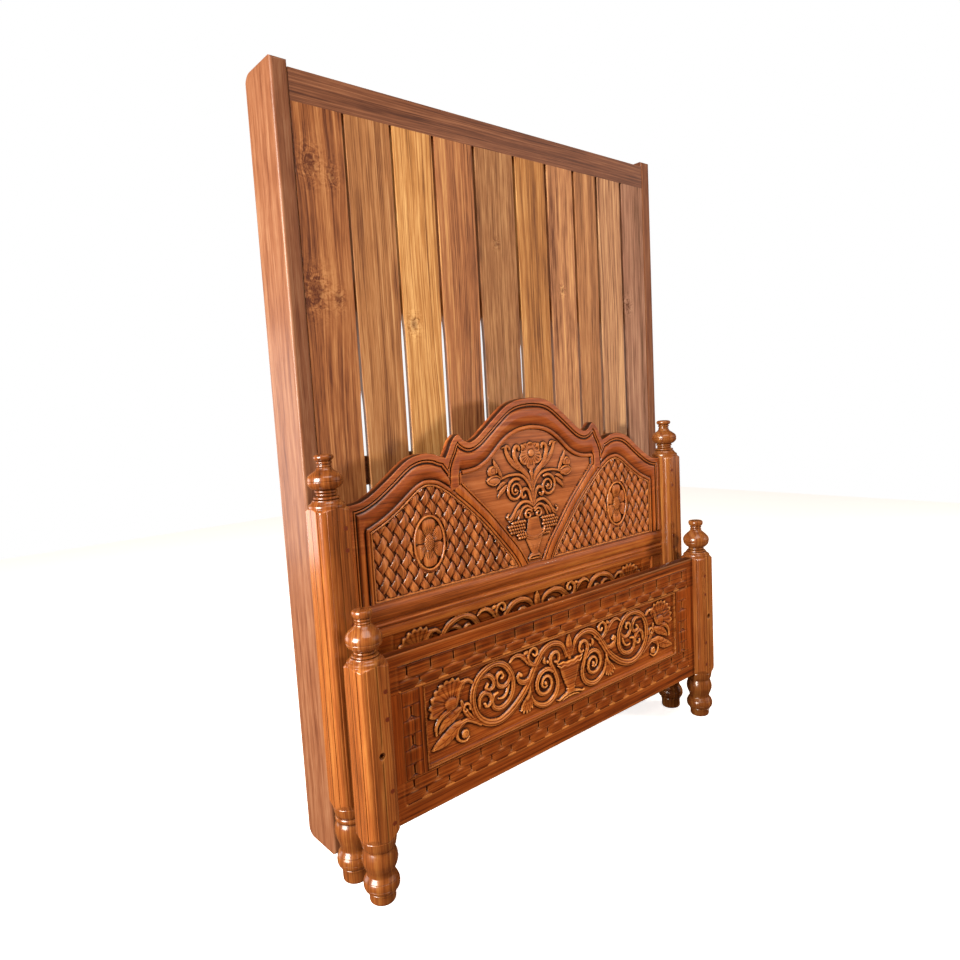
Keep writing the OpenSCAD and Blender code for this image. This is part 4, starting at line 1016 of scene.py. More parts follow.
CREST_OUT = spline([(0, 1159), (48, 1155), (90, 1142), (133, 1114), (185, 1075), (212, 1056), (238, 1047),
                    (258, 1055), (277, 1071), (298, 1055), (311, 1031), (322, 1013)], 6)
CREST_OPEN = spline([(0, 1066), (40, 1062), (75, 1052), (110, 1032), (143, 1005), (166, 987), (190, 974),
                     (212, 966), (235, 962), (255, 960.5), (266, 960)], 6)
SHOULDER_OUT = spline([(322, 1013), (340, 1018), (362, 1026), (394, 1030), (430, 1024), (460, 1010),
                       (500, 982), (531, 961), (560, 943), (590, 930), (616, 926), (632, 926)], 6)
SHOULDER_OPEN = spline([(288, 899), (304, 912), (325, 927), (356, 944), (387, 949), (405, 945), (425, 935),
                        (448, 919), (487, 892), (525, 870), (552, 858), (569, 851)], 6)
BRACE_OUT = spline([(288, 899), (248, 866), (190, 811), (133, 748), (94, 702), (73, 670)], 6)
BRACE_IN = spline([(266.5, 941), (220, 897), (161, 840), (103, 774), (62, 726), (27, 670)], 6)
BRACE_HEAD = np.array([(296.0, 925.0)])
SILL = 670.0
LEG = 800.0
HB_IN = 632.0
OPEN_X = 569.0
SIDE_LINE = np.vstack([SHOULDER_OUT, [(HB_IN, SILL - 60)]])
WEAVE_HOLE = np.vstack([[(OPEN_X, SILL)], SHOULDER_OPEN[::-1], BRACE_OUT[1:]])
CENTRE_HALF = np.vstack([BRACE_IN[::-1], CREST_OPEN[::-1]])
CENTRE_HOLE = np.vstack([CENTRE_HALF, (CENTRE_HALF * [-1, 1])[::-1][1:]])
MEDALLION = np.array((390.0, 795.0))
# Half-axes of the medallion's flower, of its ring and of the weave's flat ground behind it
MEDALLION_OPEN = (46.0, 68.0)
MEDALLION_RING = (52.0, 74.0)
MEDALLION_GROUND = (54.0, 76.0)
# The short slot beside the crest's left valley
CORNER_SLOT = [(-272, 943), (-265, 943), (-265, 971), (-272, 971)]
# Width of the flat, quirk and bead along the crest's edge, and of the beads along a brace's two edges
OUTER_LINES = 27.0
BRACE_ROLL, BRACE_BEAD = 10.0, 9.0


def outer_moulding(d):
    """Depth of the outer edge: a flat, a quirk, a thin bead and a second quirk."""
    flat = round_profile(d, 3.0)
    edge = size("edge_flat")
    quirk = 4.8 * smoothstep(d, edge, edge + 1.8)
    return np.where(d < edge, flat, quirk - bump_at(d, 21.4, 2.8, 4.0))


def roll_moulding(d, width):
    """Depth of the inner edge, from the opening outwards: a step, a round bead and a quirk."""
    return 6.6 - bump_at(d, width * 0.46, width * 0.42, 4.8) + 2.0 * (1 - smoothstep(d, 0.0, 1.0))


CREST_EDGE = np.vstack([CREST_OUT, [(333, 986), (337, 955), (338, 925)]])
SIDE_EDGE = np.vstack([[(286, 968)], SIDE_LINE[:-1], [(HB_IN, SILL - 60)]])


def headboard_depth(x, z):
    """How far the crest, the stiles and the braces lie behind the headboard's front."""
    x = np.abs(x)
    brace = np.vstack([BRACE_OUT, BRACE_IN[::-1], BRACE_HEAD])
    in_brace = inside(x, z, brace)
    # the centre's and the side's mouldings meet on a mitre below the valley
    mitre = 322 - (1013 - z) * 0.14
    in_crest = (x < mitre) & (z > 940 - (x - 262) * 0.42)
    d_out_c, _, _ = distance(x, z, CREST_EDGE)
    d_out_s, _, _ = distance(x, z, SIDE_EDGE)
    d_weave, _, _ = distance(x, z, np.vstack([WEAVE_HOLE, WEAVE_HOLE[:1]]))
    d_centre, _, _ = distance(x, z, CENTRE_HALF)
    d_out = np.where(in_crest, d_out_c, d_out_s)
    d_in = np.where(in_crest, d_centre, d_weave)
    roll = np.where(in_crest, size("centre_roll"), size("weave_roll"))
    # the broad band falls from its crown to the roll round the opening
    a = np.clip(d_out - OUTER_LINES, 0, None)
    b = np.clip(d_in - roll, 0, None)
    t = a / np.maximum(a + b, 1e-6)
    band = 3.4 * (1 - smoothstep(a, 0.0, 6.0)) + 0.5 + 5.6 * smoothstep(t, 0.42, 1.0) ** 1.3
    leg = smoothstep(x, 272, 281) * (1 - smoothstep(z, 1022, 1046)) * in_crest
    band = band * (1 - leg) + leg * (1.0 + 2.6 * (1 - smoothstep(a, 0.0, 4.0)))
    depth = np.where(d_out < OUTER_LINES, outer_moulding(d_out), band)
    depth = np.where(d_in < roll, roll_moulding(d_in, roll), depth)
    # the braces: a roll by the weave, a broad round, and a thin bead by the centre
    a, b = d_weave - BRACE_ROLL, d_centre - BRACE_BEAD
    w = np.clip(1 - np.abs(a / np.maximum(a + b, 1e-6) - 0.5) * 2, 0, 1)
    belly = 5.4 - 5.0 * np.sqrt(np.clip(1 - (1 - w) ** 2.4, 0, 1))
    rib = np.where(d_weave < BRACE_ROLL, 6.6 - bump_at(d_weave, 5.0, 4.2, 4.6), belly)
    thin = 6.8 - bump_at(d_centre, 4.2, 3.6, 4.0) + 1.5 * (1 - smoothstep(d_centre, 0, 1))
    rib = np.where(d_centre < BRACE_BEAD, thin, rib)
    return np.clip(np.where(in_brace, rib, depth), 0, 9.5)


# The basket weave: width and height of one diamond, where one starts, in millimetres, and half a strip's
# width as a share of the diamond
DIAMOND = (35.5, 51.0)
WEAVE_START = (-535.0, 710.0)
HALF_STRIP = 0.34


def weave_depth(x, z):
    """The basket weave's surface behind the headboard's front, with a bead round it."""
    over, up = (x - WEAVE_START[0]) / DIAMOND[0], (z - WEAVE_START[1]) / DIAMOND[1]
    s, t = over + up, over - up

    def strip(run, across):
        """Height of the strips that lie along one diagonal: flat-crowned, high where they pass over."""
        off = np.abs(across - np.round(across)) / HALF_STRIP
        crown = np.clip(1 - np.clip(off, 0, 1) ** 3, 0, 1) ** 0.6
        rise = np.cos(np.pi * (run - np.round(across)))
        return np.where(off < 1, 2.0 + 2.0 * crown + 3.7 * rise, 0)

    h = np.maximum(strip(s, t), strip(t + 1, s))
    depth = 9.6 - np.clip(h, 0, 7.9)
    edge = np.vstack([WEAVE_HOLE, WEAVE_HOLE[:1]])
    d, _, _ = distance(np.abs(x), z, edge)
    rim = np.where(d < 7.0, 7.5 - bump_at(d, 3.4, 3.4, 5.4), 0)
    depth = np.where(d < 7.2, rim, depth)
    ox, oz = (np.abs(x) - MEDALLION[0]) / MEDALLION_GROUND[0], (z - MEDALLION[1]) / MEDALLION_GROUND[1]
    near = np.hypot(ox, oz)
    return np.where(near < 1.06, np.maximum(depth, 6.5), depth)


def oval(a, b, c, n=72):
    """An oval outline with half-axes a and b about a centre."""
    t = np.radians(np.arange(n) * 360 / n)
    return np.stack([c[0] + a * np.cos(t), c[1] + b * np.sin(t)], 1)


class Crest(bpy.types.Operator):
    """The headboard's arched crest with its shoulders, braces and stiles, moulded on their fronts"""

    bl_idname = "bed.crest"
    bl_label = "Crest, braces and stiles"

    def execute(self, context):
        place = front_of("headboard")
        # moulded teak: dark in the quirks by stain and painted shade, a faint painted highlight on the
        # rounds, and a middling coat
        wood = teak("crest", "X", 5.0, 0.7, recess=1.7, crown=0.25, coat=0.5, streak=0.5)
        upright = teak("stile", "Z", 9.0, 0.5, recess=1.7, crown=0.25, coat=0.5, streak=0.5)
        inner = np.array([(266.5, 941.0)])
        centre = np.vstack([(CREST_OUT * [-1, 1])[::-1], CREST_OUT[1:], BRACE_HEAD, inner, CREST_OPEN[::-1],
                            (CREST_OPEN * [-1, 1])[1:], inner * [-1, 1], BRACE_HEAD * [-1, 1]])
        carved_board("headboard_crest_centre_moulded", centre, headboard_depth, 1.35, RAIL_BACK, place, wood,
                     ["headboard_crest_centre"], holes=[CORNER_SLOT])
        shoulder = np.vstack([SHOULDER_OUT, [(HB_IN, LEG), (OPEN_X, LEG)], SHOULDER_OPEN[::-1], BRACE_HEAD])
        brace = np.vstack([BRACE_OUT, BRACE_IN[::-1], BRACE_HEAD])
        stile = np.array([(OPEN_X, SILL), (HB_IN, SILL), (HB_IN, LEG), (OPEN_X, LEG)])
        for part, loop, cell, look in (("crest", shoulder, 1.35, wood), ("brace", brace, 1.35, upright),
                                       ("stile", stile, 1.5, upright)):
            for side in ("left", "right"):
                node = f"headboard_{part}_{side}"
                carved_board(node + "_moulded", loop, headboard_depth, cell, RAIL_BACK, place, look,
                             [node], mirror=side == "left")
        return {"FINISHED"}


class Weave(bpy.types.Operator):
    """The two panels carved as a basket weave"""

    bl_idname = "bed.weave"
    bl_label = "Basket weave"

    def execute(self, context):
        # carved teak: stain and painted shade between the strips, rubbing and painted highlight on their
        # crowns
        wood = teak("weave", "Z", 13.0, 0.6, recess=1.15, crown=0.5, coat=0.5)
        place = front_of("headboard")
        hole = oval(52.2, 74.2, MEDALLION)
        for side in ("left", "right"):
            carved_board(f"headboard_weave_{side}", WEAVE_HOLE, weave_depth, 1.4, PANEL_BACK, place, wood,
                         [f"headboard_weave_panel_{side}"], holes=[hole],
                         mirror=side == "left")
        return {"FINISHED"}


# Carving


class Relief:
    """A carved face: how high it stands over its ground at each point, in millimetres."""

    def __init__(self, x, z):
        self.x, self.z = x.ravel(), z.ravel()
        self.shape = x.shape
        self.h = np.zeros(x.size)

    def near(self, lo, hi):
        """The points within a rectangle."""
        return np.where((self.x > lo[0]) & (self.x < hi[0]) & (self.z > lo[1]) & (self.z < hi[1]))[0]

    def lift(self, at, h):
        """Raises the face to the given height where it lies lower."""
        self.h[at] = np.maximum(self.h[at], h)

    def stroke(self, points, widths, highs, flutes=(), steps=7, square=2.0):
        """A rounded band along a smooth curve; flutes are (offset, depth) of grooves along it."""
        path = spline(points, steps) if steps > 1 else np.asarray(points, float)
        w = max(widths)
        at = self.near(path.min(0) - w, path.max(0) + w)
        if not len(at):
            return
        d, t, side = distance(self.x[at], self.z[at], path)
        half = np.interp(t, np.linspace(0, 1, len(widths)), widths) / 2
        high = np.interp(t, np.linspace(0, 1, len(highs)), highs)
        u = d / half
        h = high * (0.3 + 0.7 * np.sqrt(np.clip(1 - np.clip(u, 0, 1) ** square, 0, 1)))
        for offset, deep in flutes:
            h = h - 1.9 * deep * np.exp(-(((u * side - offset) / 0.2) ** 2)) * (half > 3)
        self.lift(at, np.where(u < 1, np.clip(h, 0.2, None), 0))

    def curl(self, c, r0, r1, start, turn, widths, highs, flutes=()):
        """A band that winds in from radius r0 to r1, from the angle start over turn, in degrees."""
        t = np.linspace(0, 1, max(14, int(abs(turn) / 14)))
        a = np.radians(start + turn * t)
        r = r0 + (r1 - r0) * t
        self.stroke(np.stack([c[0] + r * np.cos(a), c[1] + r * np.sin(a)], 1), widths, highs, flutes, 1)

    def leaf(self, points, width, high, veins=0.9, at=0.4):
        """A pointed leaf along a smooth curve, with a vein down its middle and ribs off it."""
        path = spline(points, 7)
        here = self.near(path.min(0) - width, path.max(0) + width)
        if not len(here):
            return
        d, t, side = distance(self.x[here], self.z[here], path)
        swell = np.where(t < at, np.sin(np.pi / 2 * np.clip(t / at, 0, 1)) ** 0.6,
                         np.cos(np.pi / 2 * np.clip((t - at) / (1 - at), 0, 1)) ** 0.7)
        half = np.maximum(width / 2 * swell, 0.6)
        u = d / half
        h = high * (0.35 + 0.65 * np.sqrt(np.clip(1 - np.clip(u, 0, 1) ** 2, 0, 1)) * (0.55 + 0.45 * swell))
        h = h - veins * np.exp(-((d / 1.1) ** 2))
        rib = np.abs(((t * 5.5 - u * 0.5) % 1.0) - 0.5) * 2
        h = h - 0.5 * veins * np.exp(-((rib / 0.3) ** 2)) * (u > 0.15)
        self.lift(here, np.where((u < 1) & (t > 0.002) & (t < 0.998), np.clip(h, 0.2, None), 0))

    def petal(self, root, angle, length, width, high, ribs=4, cup=0.4):
        """A rounded petal from its root, broad near its end, with ribs that fan out."""
        a = math.radians(angle)
        here = self.near((root[0] - length - width, root[1] - length - width),
                         (root[0] + length + width, root[1] + length + width))
        dx, dz = self.x[here] - root[0], self.z[here] - root[1]
        p = (dx * math.cos(a) + dz * math.sin(a)) / length
        q = (-dx * math.sin(a) + dz * math.cos(a)) / (width / 2)
        wide = np.clip(np.sin(np.pi * np.clip(p, 0, 1) ** 1.25), 0.02, 1) ** 0.62
        u = np.abs(q) / wide
        h = high * (0.45 + 0.55 * np.clip(p, 0, 1)) * (1 - 0.35 * np.clip(u, 0, 1) ** 2)
        h = h - cup * high * np.exp(-(((p - 0.72) / 0.22) ** 2)) * (1 - np.clip(u, 0, 1) ** 2)
        spread = np.arctan2(q, np.maximum(p, 1e-3) * 1.4) / math.pi * 2
        h = h - 0.9 * np.abs(np.cos(spread * ribs * math.pi)) ** 6 * (p < 0.85) * (p > 0.08)
        self.lift(here, np.where((p > 0) & (p < 1) & (u < 1), np.clip(h, 0.3, None), 0))

    def dome(self, c, a, b, high, turn=0.0, hatch=0.0, base=0.0):
        """An oval boss, cross-hatched if wished."""
        r = max(a, b)
        here = self.near((c[0] - r, c[1] - r), (c[0] + r, c[1] + r))
        dx, dz = self.x[here] - c[0], self.z[here] - c[1]
        t = math.radians(turn)
        p, q = (dx * math.cos(t) + dz * math.sin(t)) / a, (-dx * math.sin(t) + dz * math.cos(t)) / b
        u2 = p * p + q * q
        h = base + high * np.sqrt(np.clip(1 - u2, 0, 1))
        if hatch:
            h = h - hatch * (np.abs(np.sin((dx + dz) * 0.95)) ** 8 + np.abs(np.sin((dx - dz) * 0.95)) ** 8)
        self.lift(here, np.where(u2 < 1, h, 0))

    def depth(self, ground, gain=1.5):
        """Depth of the face: the carving over its ground, its walls a little softened."""
        deep = np.clip((ground - gain * self.h).reshape(self.shape), 1.0, None)
        return 0.65 * deep + 0.35 * soften(deep, 1)


def flower_face(r, c, petals, boss, high):
    """Petals are (angle, length, width); the boss is hatched."""
    for k, (angle, length, width) in enumerate(petals):
        r.petal(c, angle, length, width, high - 0.6 * (k % 2), ribs=4)
    r.dome(c, boss, boss, 3.0, hatch=0.8, base=high - 1.0)


def bouquet(x, z):
    """The centre panel's flowers over a vase with grapes; both halves are alike."""
    r = Relief(np.abs(x), z)
    lines = ((-0.45, 0.8), (0.1, 0.8), (0.6, 0.7))
    r.stroke([(0, 870), (10, 905), (40, 934), (81, 940), (118, 934), (138, 927)],
             [11, 9, 8, 6], [4.5, 4.5, 4.0, 3.0], ((0.3, 0.7),))
    r.stroke([(3, 905), (16, 930), (38, 952), (58, 975), (67, 1000), (62, 1018), (50, 1020), (47, 1010)],
             [8, 13, 15, 13, 8], [4.5, 5.0, 5.0, 5.5, 5.5], lines)
    r.stroke([(6, 925), (30, 948), (58, 962), (84, 985), (97, 1008), (98, 1022), (88, 1022), (84, 1014)],
             [8, 14, 17, 12, 7], [3.5, 4.2, 4.2, 5.0, 4.5], lines)
    r.stroke([(98, 1010), (104, 1021), (114, 1020)], [7, 6, 3], [4, 4, 3])
    r.leaf([(0, 925), (0, 945), (0, 960)], 13, 4.5)
    r.stroke([(0, 930), (0, 870), (0, 845)], [6, 9, 11], [4.0, 4.5, 4.5], ((0.0, 0.6),))
    # spirals on the side stems
    r.curl((68, 894), 34, 8, 118, -640, [9, 9, 7, 6], [5.0, 4.8, 4.5, 5.0], ((0.25, 0.6),))
    r.dome((68, 894), 5.5, 5.5, 2.5, base=2.5)
    # buds with their leaves
    r.dome((150, 931), 25, 13, 3.4, turn=8, base=1.2)
    r.stroke([(126, 936), (140, 943), (160, 942), (174, 934)], [4, 6, 4], [5.0, 5.4, 4.4])
    r.stroke([(130, 927), (148, 918), (168, 924), (175, 934)], [3, 5, 3], [4.4, 4.8, 4.0])
    r.dome((155, 958), 17, 15, 3.4, turn=-25, base=1.5)
    r.curl((155, 958), 15, 4, 200, -420, [4, 4, 3], [5.8, 5.6, 5.6])
    r.leaf([(120, 944), (134, 962), (146, 984), (148, 994)], 14, 4.4)
    r.leaf([(118, 936), (130, 958), (134, 976)], 12, 4.0)
    r.leaf([(100, 914), (116, 902), (132, 888), (136, 879)], 14, 4.2)
    r.leaf([(104, 922), (122, 916), (141, 902)], 12, 3.8)
    # crook curls
    r.stroke([(2, 848), (8, 868), (15, 884), (28, 894), (42, 889), (46, 877), (38, 869), (30, 875)],
             [12, 11, 10, 9, 7], [4.8, 5.2, 5.4, 5.6, 5.4], ((0.2, 0.8),))
    # arches over the grapes
    r.stroke([(0, 842), (20, 854), (46, 855), (70, 838), (86, 812), (96, 806)],
             [10, 9, 8, 6], [5.0, 5.0, 4.6, 4.0], ((0.3, 0.7),))
    r.stroke([(4, 832), (22, 842), (42, 838), (55, 822), (62, 806)],
             [8, 8, 7, 5], [4.6, 4.6, 4.2, 3.6], ((0.3, 0.6),))
    r.curl((21, 817), 16, 4, 150, -430, [7, 6, 5], [5.2, 5.2, 5.6], ((0.2, 0.5),))
    r.stroke([(70, 838), (84, 822), (98, 812), (106, 820), (100, 827)], [7, 7, 6, 5], [3.6, 4.0, 4.4, 4.4])
    r.leaf([(52, 836), (68, 822), (78, 806)], 12, 3.4)
    # bunches of grapes
    for k, count in enumerate((6, 7, 7, 6, 4, 3)):
        x0 = (38 if k > 3 else 38 + 1.2 * k) + 4.5 * (k % 2)
        for j in range(count):
            r.dome((x0 + 9.4 * j, 799 - 9.4 * k), 5.0, 5.0, 3.6, base=1.6)
    # the vase: bell-shaped body, rolled rim, and a tapering foot
    at = r.near((-1, 676), (60, 806))
    px, pz = r.x[at], r.z[at]
    half = np.interp(pz, [745, 755, 764, 776, 790, 803], [38, 38, 34, 28, 24.5, 22])
    swell = np.sqrt(np.clip(1 - (px / half) ** 2, 0, 1))
    r.lift(at, np.where((px < half) & (pz > 752 - 8 * (1 - (px / 38) ** 2)), 2.0 + 3.6 * swell, 0))
    rim = [(k, 766 - 17 * math.sqrt(max(0, 1 - (k / 41) ** 2))) for k in range(0, 41, 4)] + [(40.5, 768)]
    r.stroke(rim, [4.2, 4.2], [6.4, 6.2], steps=2)
    rim = [(k, 759 - 17 * math.sqrt(max(0, 1 - (k / 39) ** 2))) for k in range(0, 39, 4)] + [(38.5, 761)]
    r.stroke(rim, [3.4, 3.4], [5.4, 5.2], steps=2)
    half = np.interp(pz, [678, 692, 700, 745], [24, 24, 13, 35])
    swell = np.sqrt(np.clip(1 - (px / half) ** 2, 0, 1))
    foot = (px < half) & (pz < 742 + 6 * (px / 38) ** 2) & (pz > 693)
    r.lift(at, np.where(foot, 1.6 + 2.6 * swell, 0))
    r.leaf([(0, 698), (0, 718), (0, 738)], 16, 5.2)
    r.leaf([(5, 700), (14, 718), (26, 738)], 11, 4.8)
    r.stroke([(0, 692), (16, 691), (23, 686), (24, 679)], [6, 6, 5], [5.0, 4.6, 3.4])
    r.stroke([(0, 683), (18, 682)], [5, 4], [4.0, 3.6])
    # the big flower
    petals = [(90, 33, 30), (30, 42, 36), (-28, 48, 42), (-90, 50, 38), (150, 42, 36), (208, 48, 42)]
    flower_face(r, (0, 997), petals, 10.5, 5.6)
    r.dome((30, 1018), 9, 6, 2.5, turn=30, base=2.0)
    return r.depth(10.2)


# Each panel's opening: half its width, its foot and its top
FB_OPEN = (532.0, 262.0, 481.0)
HB_LOW_OPEN = (569.0, 300.0, 582.0)
# How much higher the same scrolls stand on the headboard than on the footboard
SCROLL_LIFT = 110
# Depth of the scrolls' ground, and how much deeper it lies away from the panel's edge
SCROLL_GROUND, SCROLL_SINK = 8.0, 2.4


def running_scrolls(x, z):
    """The long scroll carving either side of an urn, about its middle."""
    r = Relief(np.abs(x), z)
    edge = ((-0.5, 0.9), (0.35, 0.7))
    # the long stem from the urn over the small spiral and round the big one
    r.stroke([(12, 408), (26, 441), (50, 456), (78, 460), (106, 451), (130, 430), (153, 400), (178, 365),
              (213, 335), (250, 314), (288, 305), (326, 314), (356, 338), (371, 372), (371, 408), (355, 438),
              (325, 458), (290, 464), (258, 452), (236, 425), (228, 394), (234, 364), (254, 344), (280, 338),
              (300, 347), (308, 366)],
             [10, 17, 19, 20, 21, 20, 20, 18, 16, 17, 15, 12],
             [4.0, 5.0, 5.4, 5.6, 5.4, 5.2, 5.2, 5.4, 5.6, 5.4, 5.0, 4.6], edge)
    # curls within the big spiral
    r.stroke([(352, 436), (332, 441), (312, 438), (298, 422), (300, 406), (314, 400), (326, 408), (320, 417)],
             [8, 12, 13, 11, 8], [3.6, 4.6, 5.2, 5.4, 5.6], edge)
    r.stroke([(236, 420), (243, 404), (258, 394), (276, 397), (288, 411), (286, 428), (272, 435),
              (264, 424), (271, 418)],
             [12, 13, 12, 10, 7], [4.0, 5.0, 5.4, 5.4, 5.6], edge)
    r.stroke([(352, 362), (350, 384), (336, 396), (319, 392), (309, 377), (314, 362), (327, 358), (333, 368)],
             [9, 13, 13, 10, 7], [4.0, 5.0, 5.4, 5.4, 5.6], edge)
    r.stroke([(308, 366), (301, 380), (287, 384)], [13, 10, 6], [4.8, 5.2, 5.0])
    r.stroke([(246, 392), (254, 374), (268, 364), (284, 366)], [9, 9, 5], [4.4, 4.6, 4.0])
    # small spiral by the urn, which starts in a crook
    r.stroke([(62, 404), (50, 402), (44, 414), (50, 428), (64, 432), (77, 424), (80, 408), (72, 390),
              (62, 370), (54, 346), (57, 322), (72, 303), (96, 292), (122, 294), (146, 308), (160, 328),
              (163, 348)],
             [7, 11, 13, 13, 15, 16, 15, 12, 6], [4.6, 5.0, 5.4, 5.2, 5.0, 5.6, 5.4, 5.0, 3.6], edge)
    r.curl((104, 353), 42, 8, 138, -620, [13, 13, 11, 9, 6], [5.2, 5.0, 4.8, 4.8, 5.2], ((0.3, 0.8),))
    r.dome((104, 353), 6, 6, 2.4, base=2.4)
    r.leaf([(100, 408), (106, 420), (100, 430)], 12, 4.2)
    r.dome((92, 412), 5, 5, 2.5, base=2.0)
    # bud curl and the blade behind it
    r.stroke([(118, 432), (136, 420), (154, 424), (167, 440), (165, 458), (150, 468), (136, 462),
              (134, 450), (143, 445), (149, 451)],
             [12, 12, 11, 10, 9, 6], [4.8, 5.0, 5.2, 5.4, 5.4, 5.6], ((0.2, 0.8),))
    r.stroke([(146, 416), (166, 430), (184, 450), (202, 462), (222, 463), (238, 452)], [8, 12, 13, 11, 5],
             [4.0, 4.6, 5.0, 5.2, 4.4], ((0.1, 0.9), (0.55, 0.6)))
    r.dome((176, 462), 9, 6, 2.6, turn=-20, base=2.4)
    # leaf under the blade
    r.stroke([(138, 410), (160, 390), (182, 381), (202, 388), (211, 403), (203, 412)], [10, 14, 16, 13, 7],
             [4.4, 4.8, 5.0, 5.2, 5.2], ((-0.3, 0.9), (0.3, 0.8)))
    r.dome((200, 406), 8, 6, 2.4, turn=40, base=3.0)
    # tassel
    for k, (tx, tz) in enumerate([(35, -38), (26, -47), (14, -51), (2, -50), (-9, -44)]):
        r.petal((170, 342), math.degrees(math.atan2(tz, tx)), math.hypot(tx, tz), 13, 5.2 - 0.4 * (k % 2),
                ribs=1, cup=0.15)
    r.stroke([(166, 362), (170, 344), (178, 332)], [6, 12, 15], [4.4, 4.8, 4.4])
    # outer flower: scalloped petals that fan round the boss
    c = (444, 404)
    for k in range(9):
        a = -12 + 18.2 * k
        r.petal(c, a, 71 - 5 * math.sin(math.radians(a)), 29, 4.6 - 0.7 * (k % 2), ribs=2, cup=0.3)
    r.dome(c, 21, 17, 3.2, turn=10, hatch=0.9, base=3.2)
    # its calyx and leaves
    r.stroke([(372, 438), (386, 448), (404, 446), (417, 430), (428, 405), (452, 388), (478, 378),
              (494, 360), (495, 338)],
             [9, 12, 13, 14, 15, 15, 10, 5], [4.2, 4.8, 5.4, 5.4, 5.4, 5.4, 5.0, 4.2],
             ((-0.35, 0.9), (0.4, 0.6)))
    r.leaf([(408, 384), (436, 372), (466, 358), (488, 338)], 30, 4.4, 0.9, 0.45)
    r.stroke([(366, 330), (386, 352), (402, 376), (410, 398)], [12, 15, 13, 9], [4.0, 4.6, 4.4, 3.6],
             ((0.0, 0.8),))
    r.curl((397, 376), 15, 5, 200, -330, [8, 8, 5], [4.6, 4.8, 5.2])
    r.leaf([(398, 342), (430, 338), (466, 318), (513, 303)], 34, 4.8, 1.0, 0.5)
    r.stroke([(350, 318), (376, 336), (400, 345), (424, 338), (432, 318), (424, 300), (406, 292), (392, 300)],
             [10, 12, 11, 10, 9, 7, 5], [4.4, 4.8, 5.2, 5.4, 5.2, 5.0, 4.4], ((0.25, 0.8),))
    r.dome((404, 311), 12, 12, 3.0, base=2.4)
    r.curl((404, 311), 10, 4, 60, 400, [3.4, 3, 3], [5.9, 5.7, 5.7])
    # urn
    at = r.near((-1, 280), (62, 400))
    px, pz = r.x[at], r.z[at]
    half = np.interp(pz, [292, 303, 312, 330, 352, 378, 392], [30, 16, 15, 25, 34, 42, 47])
    swell = np.sqrt(np.clip(1 - (px / half) ** 2, 0, 1))
    urn = np.where((px < half) & (pz > 298) & (pz < 392), 2.4 + 3.0 * swell, 0)
    lines = sum(np.exp(-(((pz - at_z) / wide) ** 2)) for at_z, wide in ((372, 1.6), (345, 1.6), (323, 1.4)))
    urn = urn - 0.9 * lines * (urn > 0)
    r.lift(at, np.clip(urn, 0, None))
    r.stroke([(0, 381), (14, 379), (28, 384), (40, 381), (50, 388)], [8, 7, 7, 5], [6.4, 6.2, 6.2, 5.4],
             steps=4)
    r.stroke([(0, 391), (16, 389), (30, 394), (46, 392), (54, 396)], [6, 5, 4], [5.6, 5.4, 4.6], steps=4)
    r.stroke([(0, 308), (16, 310)], [6, 5], [6.0, 5.0])
    r.stroke([(0, 297), (16, 296), (34, 292), (50, 286), (58, 288)], [8, 8, 7, 4], [5.8, 5.6, 5.2, 4.4],
             ((0.2, 0.8),))
    r.stroke([(0, 288), (18, 286), (36, 281)], [5, 5, 3], [4.8, 4.4, 3.6])
    r.leaf([(0, 392), (0, 425), (0, 472)], 26, 5.0, 1.0, 0.55)
    r.leaf([(0, 400), (13, 420), (18, 438)], 12, 4.6)
    half, foot, top = FB_OPEN
    edge = np.minimum(np.minimum(half - np.abs(x), z - foot), top - z)
    return r.depth((SCROLL_GROUND + SCROLL_SINK * smoothstep(edge, 6.0, 16.0)).ravel())


# The footboard's borders, in millimetres: half the width between its posts, and its top and foot
FB_IN = 634.5
FB_TOP = 578.0
FB_FOOT_TOP = 160.0
# Its rows of bricks: foot, top and by what share of a brick the row is shifted; and half their length
BRICK_ROWS = [(508, 546, 0.0), (484, 508, 0.5), (228, 261, 0.0), (201, 228, 0.5)]
BRICK_HALF = 600.5
# Its stiles' blocks: their middle, half their width, and how many stand one over the other
BLOCK_AT, BLOCK_HALF, BLOCKS = 569, 27, 6


def opening(reach):
    """A panel's rectangle: half its width, its foot and its top."""
    x, z0, z1 = reach
    return [(-x, z0), (x, z0), (x, z1), (-x, z1)]


def slot_and_chip(u, v, high):
    """Depth of a brick's end: a slot with a chip cut below it; u from the slot, v over the row's foot."""
    wide, tall = size("chip_width"), size("chip_height")
    slot = 5.4 * (1 - smoothstep(np.abs(u), 1.6, 2.8)) * smoothstep(v, tall - 1, tall + 1)
    slot = slot * (1 - smoothstep(v, high * 0.82, high * 0.95))
    reach = wide * (1 - v / tall)
    chip = np.where((np.abs(u) < reach) & (v < tall), 1.0 + 4.6 * np.clip(v / tall, 0, 1), 0)
    return np.maximum(slot, chip)


def brick_shade_and_chip_highlight(x, z):
    """How much painted shade a sunk place takes: the chips' cut faces take a painted highlight instead."""
    pitch, wide, tall = size("brick_pitch"), size("chip_width"), size("chip_height")
    shade = np.ones(x.shape)
    for z0, z1, shift in BRICK_ROWS:
        p = x / pitch + shift
        u = (p - np.round(p)) * pitch
        v = z - z0
        chip = (np.abs(u) < wide * (1 - v / tall)) & (v > 0) & (v < tall) & (z < z1)
        shade = np.where(chip, -0.9, shade)
    return shade


